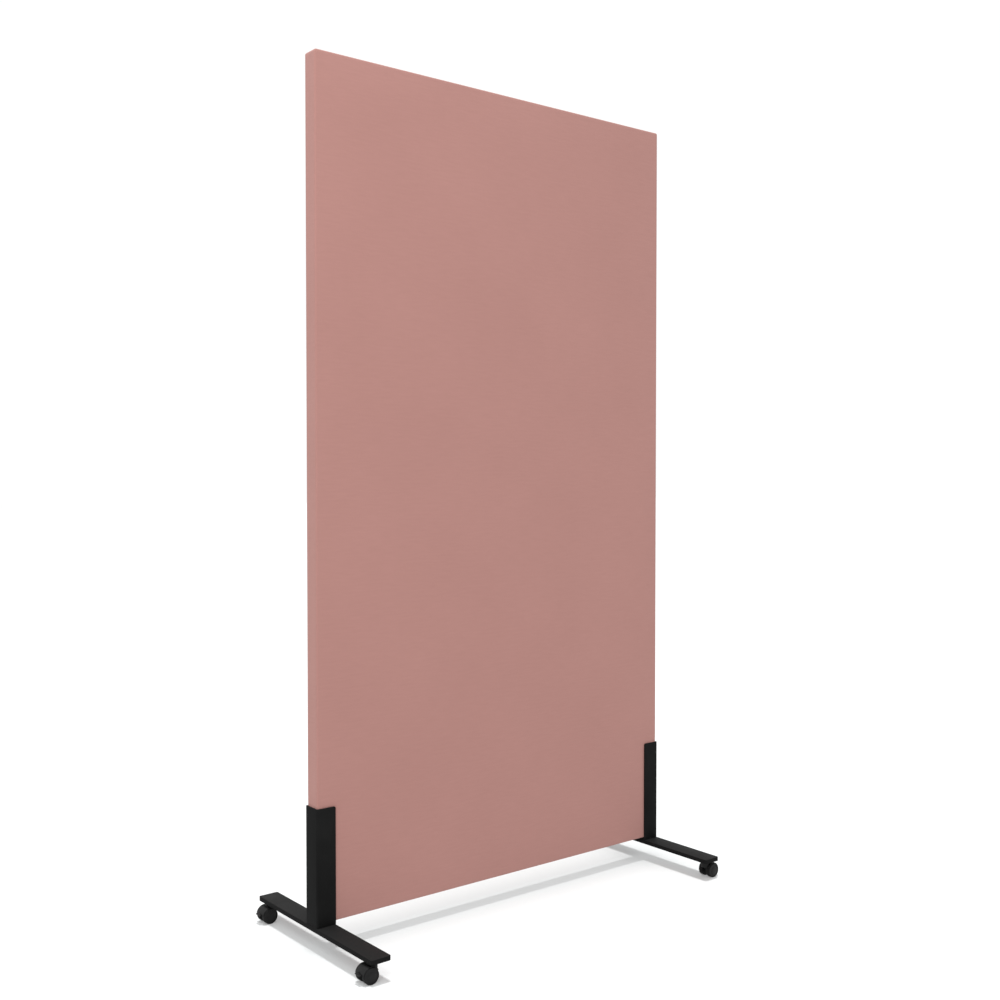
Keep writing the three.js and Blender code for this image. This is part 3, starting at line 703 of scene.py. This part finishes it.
def cut_grid(cuts):
    """In edit mode, cuts the piece with planes, each given by its axis and place."""
    for axis, value in cuts:
        place, normal = Vector((0, 0, 0)), Vector((0, 0, 0))
        place[axis], normal[axis] = value, 1.0
        bpy.ops.mesh.select_all(action="SELECT")
        bpy.ops.mesh.bisect(plane_co=place, plane_no=normal, threshold=TINY)


def even_cuts(low, high, spacing, margin):
    """Evenly spaced cuts along the length and the height, kept off the rims."""
    cuts = []
    for axis in (0, 2):
        start, end = low[axis] + margin, high[axis] - margin
        count = round((end - start) / spacing)
        cuts += [(axis, start + (end - start) * i / count) for i in range(count + 1)]
    return cuts


def shade(piece, sharper_than=32):
    select_only(piece)
    bpy.ops.object.shade_smooth_by_angle(angle=math.radians(sharper_than))


def coat(piece, *finishes):
    """The piece's materials, in place of any that its making left behind."""
    piece.data.materials.clear()
    for finish in finishes:
        piece.data.materials.append(finish)


def install(piece, body, slot, *nodes):
    """A finished piece rides on its body and stands for its nodes."""
    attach(piece, body)
    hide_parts(*nodes)


def smoothstep(low, high, value):
    share = min(max((value - low) / (high - low), 0.0), 1.0)
    return share * share * (3 - 2 * share)


# ---- operators


class PARTITION_OT_cover(bpy.types.Operator):
    """Stretches the cloth cover over the panel, with its mouth along the bottom edge"""

    bl_idname = "partition.cover"
    bl_label = "Cloth cover"

    def execute(self, context):
        sizes = context.scene.partition_sizes
        low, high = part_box("fabric_cover")
        strip_low, strip_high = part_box("bottom_strip")
        mouth = (strip_high.x + FIT, strip_high.y + FIT)
        cover = new_box("cloth_cover", low, high)
        with editing(cover):
            round_off(lambda edge: along(edge, 1), PANEL_CORNER, 6)
            round_off(lambda edge: any(flat_at(edge, 1, y) for y in (low.y, high.y)), PANEL_RIM, 5)
            around = [(0, mouth[0]), (0, -mouth[0]), (1, mouth[1]), (1, -mouth[1])]
            cut_grid(around + even_cuts(low, high, sizes.cover_grid, GRID_MARGIN))
            open_up(lambda face: self.in_mouth(middle(face), low.z, mouth))
        self.fill_out(cover, sizes, low, high)
        thicken(cover, sizes.cloth)
        self.lay_thread(cover)
        shade(cover, 45)
        coat(cover, finish_of(woven_polyester, context))
        install(cover, BODY, "cover_fabric", "fabric_cover")
        return {"FINISHED"}

    @staticmethod
    def in_mouth(place, bottom, mouth):
        across, deep = mouth
        return place.z < bottom + 10 * TINY and abs(place.x) < across and abs(place.y) < deep

    @staticmethod
    def fill_out(cover, sizes, low, high):
        """The wadding swells the broad faces, and the cloth keeps soft waves and pull marks.

        It stays flat where the uprights clasp it and along its rims.
        """
        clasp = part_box("left_upright")
        inner, top = -clasp[1].x, clasp[1].z
        for point in cover.data.vertices:
            x, y, z = point.co
            beside = max(inner - abs(x), z - top)
            press = sizes.squeeze * (1 - smoothstep(0, CLASP_BLEND, beside))
            point.co.x -= press * x / high.x
            point.co.y -= press * y / high.y
            if abs(abs(y) - high.y) > 10 * TINY:
                continue
            rim = min(high.x - abs(x), high.z - z, z - low.z)
            free = smoothstep(0, RIM_FADE, rim) * smoothstep(0, CLASP_FADE, beside)
            # Two slow waves across each other, out of step on the two faces
            wave = math.sin(x * 7.3 + z * 1.9) * math.sin(z * 4.1 - x * 2.2 + 0.7 * y / high.y)
            pulls = math.cos(x * math.tau / PULL_SPACING) * math.exp((low.z - z) / PULL_REACH)
            rise = sizes.swell * free + sizes.ripple * free * (wave * 0.5 + pulls * 0.4)
            point.co.y += math.copysign(max(rise, 0.0), y)

    @staticmethod
    def lay_thread(cover):
        """A map in metres, so that the threads run along and across every side."""
        mesh = cover.data
        threads = mesh.uv_layers.new(name="cloth")
        for face in mesh.polygons:
            facing = max(range(3), key=lambda axis: abs(face.normal[axis]))
            across, up = [(1, 2), (0, 2), (0, 1)][facing]
            for corner in face.loop_indices:
                place = mesh.vertices[mesh.loops[corner].vertex_index].co
                threads.data[corner].uv = (place[across], place[up])


class PARTITION_OT_fillings(bpy.types.Operator):
    """Lays the wadding sheets and the felt cores, with soft rims and uneven faces"""

    bl_idname = "partition.fillings"
    bl_label = "Fillings"

    def execute(self, context):
        sizes = context.scene.partition_sizes
        for slot, make, rim, nodes in (
            ("wadding", needled_wadding, 1.2 * MM, ("front_wadding", "back_wadding")),
            ("core_felt", pressed_felt, 2 * MM, ("lower_core", "upper_core")),
        ):
            for node in nodes:
                low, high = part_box(node)
                filling = new_box(node + "_layer", low, high)
                soften(filling, rim, segments=3)
                with editing(filling):
                    cut_grid(even_cuts(low, high, sizes.filling_grid, 2 * rim))
                self.press_down(filling, sizes.unevenness, low, high)
                shade(filling, 60)
                coat(filling, finish_of(make, context))
                install(filling, BODY, slot, node)
        return {"FINISHED"}

    @staticmethod
    def press_down(filling, depth, low, high):
        """Fibre lies unevenly: the broad faces sink a little here and there."""
        centre = (low.y + high.y) / 2
        for point in filling.data.vertices:
            x, y, z = point.co
            if min(abs(y - low.y), abs(y - high.y)) < TINY:
                hollow = 0.5 + 0.5 * math.sin(x * 23 + math.sin(z * 9)) * math.sin(z * 17 + y * 90)
                point.co.y -= math.copysign(depth * hollow, y - centre)


class PARTITION_OT_uprights(bpy.types.Operator):
    """Bends the two sheet-steel uprights and adds their base tabs and weld nuts"""

    bl_idname = "partition.uprights"
    bl_label = "Uprights"

    def execute(self, context):
        sizes = context.scene.partition_sizes
        for side, sign in SIDES.items():
            node = side + "_upright"
            low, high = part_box(node)
            outer = high.x if sign > 0 else low.x
            free = low.x if sign > 0 else high.x
            channel = new_box(side + "_channel", low, high)
            with editing(channel):
                round_off(lambda edge: along(edge, 2) and flat_at(edge, 0, outer), sizes.bend, 8)
                open_up(lambda face: self.open_side(face, sign))
            thicken(channel, sizes.sheet)
            with editing(channel):
                round_off(
                    lambda edge: along(edge, 1)
                    and flat_at(edge, 0, free)
                    and flat_at(edge, 2, high.z),
                    sizes.flange_corner,
                    10,
                )
            soften(channel, sizes.sheet_edge)
            self.add_base(channel, side, sign, low, high, sizes)
            self.drill(channel, side)
            shade(channel)
            coat(channel, finish_of(powder_coated_steel, context))
            install(channel, BODY, "powder_coat", node)
        return {"FINISHED"}

    @staticmethod
    def open_side(face, sign):
        """The channel is open at the top, at the bottom and towards the panel."""
        return abs(face.normal.z) > 0.9 or face.normal.x * sign < -0.9

    @staticmethod
    def add_base(channel, side, sign, low, high, sizes):
        """The tab on the foot plate, welded to the web, and two weld nuts on it."""
        half = high.y - sizes.sheet - TAB_RELIEF
        inner = (low.x if sign > 0 else high.x) + sign * TAB_RELIEF
        outer = (high.x if sign > 0 else low.x) - sign * sizes.sheet / 2
        bottom = Vector((min(inner, outer), -half, low.z))
        top = Vector((max(inner, outer), half, low.z + sizes.tab))
        tab = new_box("tab", bottom, top)
        soften(tab, sizes.sheet_edge)
        combine(channel, "UNION", tab)
        for end in ENDS:
            screw_low, screw_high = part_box(side + "_" + end + "_foot_screw")
            place = (screw_low + screw_high) / 2
            start = Vector((place.x, place.y, low.z + sizes.tab / 2))
            tip = Vector((place.x, place.y, screw_high.z + FIT))
            combine(channel, "UNION", new_rod("nut", start, tip, NUT_RADIUS, sides=6))
            reach = Vector((0, 0, NUT_REACH))
            bore = new_rod("bore", start - reach, tip + reach, SCREW_HOLE, sides=32)
            combine(channel, "DIFFERENCE", bore)

    @staticmethod
    def drill(channel, side):
        """The two holes of the panel screws in the rear flange."""
        for height in ("lower", "upper"):
            low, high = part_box(side + "_" + height + "_panel_screw")
            place = (low + high) / 2
            start = Vector((place.x, high.y - DRILL_REACH, place.z))
            end = Vector((place.x, high.y + DRILL_REACH, place.z))
            combine(channel, "DIFFERENCE", new_rod("hole", start, end, SCREW_HOLE, sides=32))


class PARTITION_OT_foot_plates(bpy.types.Operator):
    """Cuts the two foot plates from flat bar, rounds them and drills them from below"""

    bl_idname = "partition.foot_plates"
    bl_label = "Foot plates"

    def execute(self, context):
        sizes = context.scene.partition_sizes
        for side in SIDES:
            node = side + "_foot_plate"
            low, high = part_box(node)
            plate = new_box(side + "_flat_bar", low, high)
            with editing(plate):
                round_off(lambda edge: along(edge, 2), sizes.plate_corner, 10)
            soften(plate, sizes.plate_edge, segments=3)
            for end in ENDS:
                self.countersink(plate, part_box(side + "_" + end + "_foot_screw"), low.z, high.z)
                stem_low, stem_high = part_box(end + "_" + side + "_caster_stem")
                place = (stem_low + stem_high) / 2
                start = Vector((place.x, place.y, low.z - PAST))
                tip = Vector((place.x, place.y, stem_high.z + FIT))
                combine(plate, "DIFFERENCE", new_rod("hole", start, tip, STEM_HOLE, sides=32))
            shade(plate)
            coat(plate, finish_of(powder_coated_steel, context))
            install(plate, BODY, "powder_coat", node)
        return {"FINISHED"}

    @staticmethod
    def countersink(plate, screw_box, bottom, top):
        place = (screw_box[0] + screw_box[1]) / 2
        for start, end, wide, narrow in (
            (bottom - PAST, bottom + FIT, SINK_RADIUS, SINK_RADIUS),
            (bottom + FIT / 2, bottom + FIT + SUNK_HEIGHT, SINK_RADIUS, SCREW_HOLE),
            (bottom + SUNK_HEIGHT - FIT, top + PAST, SCREW_HOLE, SCREW_HOLE),
        ):
            low = Vector((place.x, place.y, start))
            high = Vector((place.x, place.y, end))
            tool = new_rod("countersink", low, high, wide, end_radius=narrow, sides=48)
            combine(plate, "DIFFERENCE", tool)


class PARTITION_OT_screws(bpy.types.Operator):
    """Turns the button-head screws at the back and the countersunk ones under the feet"""

    bl_idname = "partition.screws"
    bl_label = "Screws"

    def execute(self, context):
        finish = finish_of(black_oxide_steel, context)
        button = self.button_head()
        sunk = self.sunk_head()
        for side in SIDES:
            for height in ("lower", "upper"):
                node = side + "_" + height + "_panel_screw"
                low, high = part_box(node)
                place = Vector(((low.x + high.x) / 2, high.y, (low.z + high.z) / 2))
                self.fit(button, node, place, finish)
            for end in ENDS:
                node = side + "_" + end + "_foot_screw"
                low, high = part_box(node)
                place = Vector(((low.x + high.x) / 2, (low.y + high.y) / 2, low.z))
                self.fit(sunk, node, place, finish)
        for pattern in (button, sunk):
            bpy.data.objects.remove(pattern)
        return {"FINISHED"}

    @staticmethod
    def fit(pattern, node, place, finish):
        screw = copied(pattern, node + "_turned", Matrix.Translation(place))
        coat(screw, finish)
        install(screw, BODY, "screw_steel", node)

    @staticmethod
    def socket(start, end):
        return new_rod("socket", start, end, SOCKET_RADIUS, sides=6)

    def button_head(self):
        """Along Y, with the top of its head at the origin."""
        seat, tip = -BUTTON_HEIGHT, -BUTTON_LENGTH
        screw = new_rod("button_screw", (0, seat, 0), (0, 0, 0), BUTTON_RADIUS)
        with editing(screw):
            round_off(lambda edge: flat_at(edge, 1, 0), BUTTON_DOME, 8)
        shank = new_rod("shank", (0, tip, 0), (0, seat + PAST, 0), SCREW_RADIUS, sides=48)
        with editing(shank):
            round_off(lambda edge: flat_at(edge, 1, tip), SCREW_TIP, 1)
        combine(screw, "UNION", shank)
        combine(screw, "DIFFERENCE", self.socket((0, -SOCKET_DEPTH, 0), (0, PAST, 0)))
        shade(screw)
        return screw

    def sunk_head(self):
        """Along Z, with the flat of its head at the origin, facing down."""
        neck, tip = (0, 0, SUNK_HEIGHT), (0, 0, SUNK_LENGTH)
        inside = (0, 0, SUNK_HEIGHT - FIT)
        screw = new_rod("sunk_screw", (0, 0, 0), neck, SUNK_RADIUS, SCREW_RADIUS)
        shank = new_rod("shank", inside, tip, SCREW_RADIUS, sides=48)
        with editing(shank):
            round_off(lambda edge: flat_at(edge, 2, SUNK_LENGTH), SCREW_TIP, 1)
        combine(screw, "UNION", shank)
        combine(screw, "DIFFERENCE", self.socket((0, 0, -PAST), (0, 0, SOCKET_DEPTH)))
        shade(screw)
        return screw


def caster_places():
    """Each caster's name and the matrix that puts a piece of it in place."""
    places = []
    for joint in frame["joints"]:
        if joint["name"].endswith("_swivel"):
            x, y, _ = joint["pos_m"]
            turn = Matrix.Rotation(0 if x > 0 else math.pi, 4, "Z")
            places.append((joint["child"], Matrix.Translation((x, y, 0)) @ turn))
    return places


def from_axle(x, z, y=0.0):
    """A point of the caster, given from its axle."""
    return Vector((TRAIL + x, y, WHEEL_RADIUS + z))


def cross_rod(name, x, z, half, radius, sides=64):
    """A rod across the caster through a point given from its axle."""
    return new_rod(name, from_axle(x, z, -half), from_axle(x, z, half), radius, sides=sides)


def polar(radius, angle):
    return radius * math.cos(angle), radius * math.sin(angle)


def ring_sector(name, inner, outer, angles, half):
    """A sector of a ring round the axle, less than half a turn."""
    low, high = angles
    sector = cross_rod(name, 0, 0, half, outer, sides=96)
    slice_off(sector, from_axle(0, 0), (math.sin(low), 0, -math.cos(low)))
    slice_off(sector, from_axle(0, 0), (-math.sin(high), 0, math.cos(high)))
    combine(sector, "DIFFERENCE", cross_rod("inner", 0, 0, 2 * half, inner))
    return sector


class PARTITION_OT_housings(bpy.types.Operator):
    """Moulds the caster housings: neck, web and hood, with the brake lever's slot"""

    bl_idname = "partition.housings"
    bl_label = "Caster housings"

    def execute(self, context):
        pattern = self.mould()
        for caster, placing in caster_places():
            node = caster + "_housing"
            housing = copied(pattern, node + "_moulding", placing)
            coat(housing, finish_of(moulded_nylon, context))
            install(housing, caster, "caster_nylon", node)
        bpy.data.objects.remove(pattern)
        return {"FINISHED"}

    def mould(self):
        housing = self.hood_and_web()
        neck = new_rod("neck", (0, 0, NECK_BOTTOM), (0, 0, NECK_TOP), NECK_RADIUS, sides=72)
        with editing(neck):
            round_off(lambda edge: flat_at(edge, 2, NECK_TOP), NECK_EDGE, 3)
        combine(housing, "UNION", neck)
        for sign in (-1, 1):
            start = from_axle(0, 0, sign * WEB_HALF)
            end = from_axle(0, 0, sign * 2 * HOOD_HALF)
            pocket = new_rod("pocket", start, end, HOOD_INNER, sides=120)
            combine(housing, "DIFFERENCE", pocket)
        above = Vector((0, 0, NECK_TOP + PAST))
        bore = new_rod("bore", (0, 0, STEM_TIP - FIT), above, STEM_BORE, sides=48)
        recess = new_rod("recess", (0, 0, STEM_HEX_BOTTOM), above, STEM_HEX_RADIUS, sides=48)
        axle = cross_rod("axle", 0, 0, 2 * WEB_HALF, AXLE_BORE, sides=48)
        slot = ring_sector("slot", SLOT_INNER, HOOD_INNER, SLOT_ANGLES, LEVER_HALF + FIT)
        outside = HOOD_RADIUS + PAST
        notch = ring_sector("notch", WHEEL_RADIUS, outside, NOTCH_ANGLES, LEVER_HALF + FIT)
        combine(housing, "DIFFERENCE", bore, recess, axle, slot, notch)
        pin = cross_rod("pin", *LEVER_PIVOT, WEB_HALF - FIT, LEVER_PIN, sides=32)
        combine(housing, "UNION", pin)
        shade(housing)
        return housing

    @staticmethod
    def hood_and_web():
        """A disc over both wheels, sliced to the hood's arc and the web's tapered foot."""
        block = cross_rod("housing", 0, 0, HOOD_HALF, HOOD_RADIUS, sides=120)
        with editing(block):
            round_off(lambda edge: abs(abs(middle(edge).y) - HOOD_HALF) < TINY, HOOD_EDGE, 4)
        for hood_angle, boss_angle, turn in (
            (HOOD_TRAILING, BOSS_TRAILING, 1),
            (HOOD_LEADING, BOSS_LEADING, -1),
        ):
            hood_x, hood_z = polar(HOOD_RADIUS, hood_angle)
            boss_x, boss_z = polar(BOSS_RADIUS, boss_angle)
            normal = (turn * (hood_z - boss_z), 0, -turn * (hood_x - boss_x))
            slice_off(block, from_axle(boss_x, boss_z), normal)
        slice_off(block, from_axle(0, -BOSS_DEPTH), (0, 0, -1))
        with editing(block):
            level = WHEEL_RADIUS - BOSS_DEPTH
            round_off(lambda edge: along(edge, 1) and flat_at(edge, 2, level), BOSS_EDGE, 6)
        return block


class PARTITION_OT_wheels(bpy.types.Operator):
    """Moulds the wheels, with a tread, a recessed disc and a hub cap"""

    bl_idname = "partition.wheels"
    bl_label = "Wheels"

    def execute(self, context):
        pattern = self.mould()
        coat(pattern, finish_of(moulded_nylon, context), finish_of(polyurethane_tread, context))
        self.paint_tread(pattern)
        side = Matrix.Translation(from_axle(0, 0))
        turned = side @ Matrix.Rotation(math.pi, 4, "X")
        for caster, placing in caster_places():
            for end, sign in ENDS.items():
                node = caster + "_" + end + "_wheel"
                flipped = placing[1][1] * sign < 0
                seat = placing @ (turned if flipped else side)
                wheel = copied(pattern, node + "_moulding", seat)
                install(wheel, node, "wheel_plastic", node)
        bpy.data.objects.remove(pattern)
        return {"FINISHED"}

    @staticmethod
    def mould():
        """About the origin's Y axis, on the +Y side of the web."""
        face = WHEEL_INNER_FACE + WHEEL_WIDTH - WHEEL_CROWN
        start, end = Vector((0, WHEEL_INNER_FACE, 0)), Vector((0, face, 0))
        wheel = new_rod("wheel", start, end, WHEEL_RADIUS, sides=96)
        with editing(wheel):
            round_off(lambda edge: flat_at(edge, 1, face), WHEEL_SHOULDER, 5)
            round_off(lambda edge: flat_at(edge, 1, WHEEL_INNER_FACE), WHEEL_CHAMFER, 2)
            pick("FACE", lambda part: part.normal.y > STRAIGHT and len(part.verts) > 4)
            for width, rise in WHEEL_RINGS:
                bpy.ops.mesh.inset(thickness=width * MM, depth=rise * MM)
        bore_end = Vector((0, WHEEL_INNER_FACE + WHEEL_BORE_DEPTH, 0))
        bore_start = Vector((0, WHEEL_INNER_FACE - PAST, 0))
        combine(wheel, "DIFFERENCE", new_rod("bore", bore_start, bore_end, AXLE_BORE, sides=48))
        shade(wheel, 28)
        return wheel

    @staticmethod
    def paint_tread(wheel):
        for face in wheel.data.polygons:
            x, _, z = face.center
            if math.hypot(x, z) > WHEEL_RADIUS - TREAD_DEPTH:
                face.material_index = 1


class PARTITION_OT_brake_levers(bpy.types.Operator):
    """Moulds the brake levers: hub, arm and a ribbed pedal behind the hood"""

    bl_idname = "partition.brake_levers"
    bl_label = "Brake levers"

    def execute(self, context):
        pattern = self.mould()
        for caster, placing in caster_places():
            node = caster + "_brake_lever"
            lever = copied(pattern, node + "_moulding", placing)
            coat(lever, finish_of(moulded_nylon, context))
            install(lever, caster + "_brake", "caster_nylon", node)
        bpy.data.objects.remove(pattern)
        return {"FINISHED"}

    @staticmethod
    def mould():
        lever = hull_of(
            "lever",
            cross_rod("hub", *LEVER_PIVOT, LEVER_HALF, LEVER_HUB, sides=48),
            cross_rod("end", *PEDAL_NEAR, LEVER_HALF, LEVER_ARM, sides=32),
        )
        pedal = hull_of(
            "pedal",
            cross_rod("near", *PEDAL_NEAR, PEDAL_HALF, PEDAL_RADIUS, sides=32),
            cross_rod("far", *PEDAL_FAR, PEDAL_HALF, PEDAL_RADIUS, sides=32),
        )
        soften(pedal, PEDAL_EDGE, segments=3, sharper_than=60)
        combine(lever, "UNION", pedal)
        for share in (0.0, 0.5, 1.0):
            x = PEDAL_NEAR[0] + share * (PEDAL_FAR[0] - PEDAL_NEAR[0])
            z = PEDAL_NEAR[1] + share * (PEDAL_FAR[1] - PEDAL_NEAR[1])
            rib = cross_rod("rib", x, z + RIB_RISE, RIB_HALF, RIB_RADIUS, sides=12)
            combine(lever, "UNION", rib)
        bore = cross_rod("bore", *LEVER_PIVOT, 2 * LEVER_HALF, LEVER_PIN + FIT, sides=32)
        combine(lever, "DIFFERENCE", bore)
        shade(lever)
        return lever


class PARTITION_OT_inner_parts(bpy.types.Operator):
    """Gives the panel's frame, the closing strip and the plated parts their finishes"""

    bl_idname = "partition.inner_parts"
    bl_label = "Inner parts"

    finishes = {
        "strip_plastic": extruded_pvc,
        "frame_wood": upright_pine,
        "zinc_steel": zinc_plated_steel,
    }

    def execute(self, context):
        for part in frame["record"]["subparts"]:
            name = part["node"]
            make = self.finishes.get(part["material_slot"])
            if name.endswith("_rail"):
                make = level_pine
            if make:
                for place in frame["nodes"][name].material_slots:
                    place.material = finish_of(make, context)
        return {"FINISHED"}


class PARTITION_OT_stage(bpy.types.Operator):
    """Lays a white floor, hangs the studio lights and sets up the camera"""

    bl_idname = "partition.stage"
    bl_label = "Stage"

    def execute(self, context):
        self.lay_floor()
        self.light_sky(context)
        self.hang_lights()
        self.place_camera(context)
        context.scene.view_settings.view_transform = "Standard"
        return {"FINISHED"}

    @staticmethod
    def lay_floor():
        bpy.ops.object.select_all(action="DESELECT")
        bpy.ops.mesh.primitive_plane_add(size=FLOOR_SIZE)
        floor = settle(bpy.context.object, "floor")
        floor.data.materials.append(plain_floor())

    @staticmethod
    def light_sky(context):
        world = bpy.data.worlds.new("white_studio")
        world.use_nodes = True
        sky = world.node_tree.nodes["Background"]
        sky.inputs["Color"].default_value = WHITE
        sky.inputs["Strength"].default_value = SKY_STRENGTH
        context.scene.world = world

    @staticmethod
    def hang_lights():
        """A broad ceiling light straight overhead, and a soft lamp before and behind."""
        ceiling = bpy.data.lights.new("ceiling", "SUN")
        ceiling.energy = CEILING_STRENGTH
        ceiling.angle = CEILING_SPREAD
        bpy.context.scene.collection.objects.link(bpy.data.objects.new("ceiling", ceiling))
        for name, (place, watts) in LAMPS.items():
            lamp = bpy.data.lights.new(name, "AREA")
            lamp.shape = "DISK"
            lamp.size = LAMP_DIAMETER
            lamp.energy = watts
            holder = bpy.data.objects.new(name, lamp)
            holder.location = place
            aim = LAMP_AIM - holder.location
            holder.rotation_euler = aim.to_track_quat("-Z", "Y").to_euler()
            bpy.context.scene.collection.objects.link(holder)

    @staticmethod
    def place_camera(context):
        """A level eye at about half the panel's height, off its left front corner."""
        lens = bpy.data.cameras.new("camera")
        lens.sensor_width = SENSOR_MM
        lens.lens = FOCAL_RATIO * SENSOR_MM
        lens.clip_start = 0.1
        lens.clip_end = 100.0
        camera = bpy.data.objects.new("camera", lens)
        camera.location = CAMERA_PLACE
        camera.rotation_euler = (math.pi / 2 - CAMERA_DIP, 0.0, CAMERA_TURN)
        context.scene.collection.objects.link(camera)
        context.scene.camera = camera


class PARTITION_PT_sidebar(bpy.types.Panel):
    """Lists the steps and the sizes and colours that they read"""

    bl_label = "Rolling Partition"
    bl_idname = "PARTITION_PT_sidebar"
    bl_space_type = "VIEW_3D"
    bl_region_type = "UI"
    bl_category = "Partition"

    def draw(self, context):
        for step in STEPS:
            self.layout.operator(step.bl_idname)
        for group in (context.scene.partition_sizes, context.scene.partition_colours):
            column = self.layout.column(heading=group.bl_rna.description)
            for name in group.__annotations__:
                column.prop(group, name)


STEPS = (
    PARTITION_OT_cover,
    PARTITION_OT_fillings,
    PARTITION_OT_uprights,
    PARTITION_OT_foot_plates,
    PARTITION_OT_screws,
    PARTITION_OT_housings,
    PARTITION_OT_wheels,
    PARTITION_OT_brake_levers,
    PARTITION_OT_inner_parts,
    PARTITION_OT_stage,
)
CLASSES = (PartitionSizes, PartitionColours, *STEPS, PARTITION_PT_sidebar)


def register():
    for each in CLASSES:
        bpy.utils.register_class(each)
    bpy.types.Scene.partition_sizes = PointerProperty(type=PartitionSizes)
    bpy.types.Scene.partition_colours = PointerProperty(type=PartitionColours)


def unregister():
    del bpy.types.Scene.partition_colours
    del bpy.types.Scene.partition_sizes
    for each in reversed(CLASSES):
        bpy.utils.unregister_class(each)


def main():
    register()
    bpy.ops.partition.cover()
    bpy.ops.partition.fillings()
    bpy.ops.partition.uprights()
    bpy.ops.partition.foot_plates()
    bpy.ops.partition.screws()
    bpy.ops.partition.housings()
    bpy.ops.partition.wheels()
    bpy.ops.partition.brake_levers()
    bpy.ops.partition.inner_parts()
    bpy.ops.partition.stage()
    bpy.context.view_layer.update()


if __name__ == "__main__":
    main()
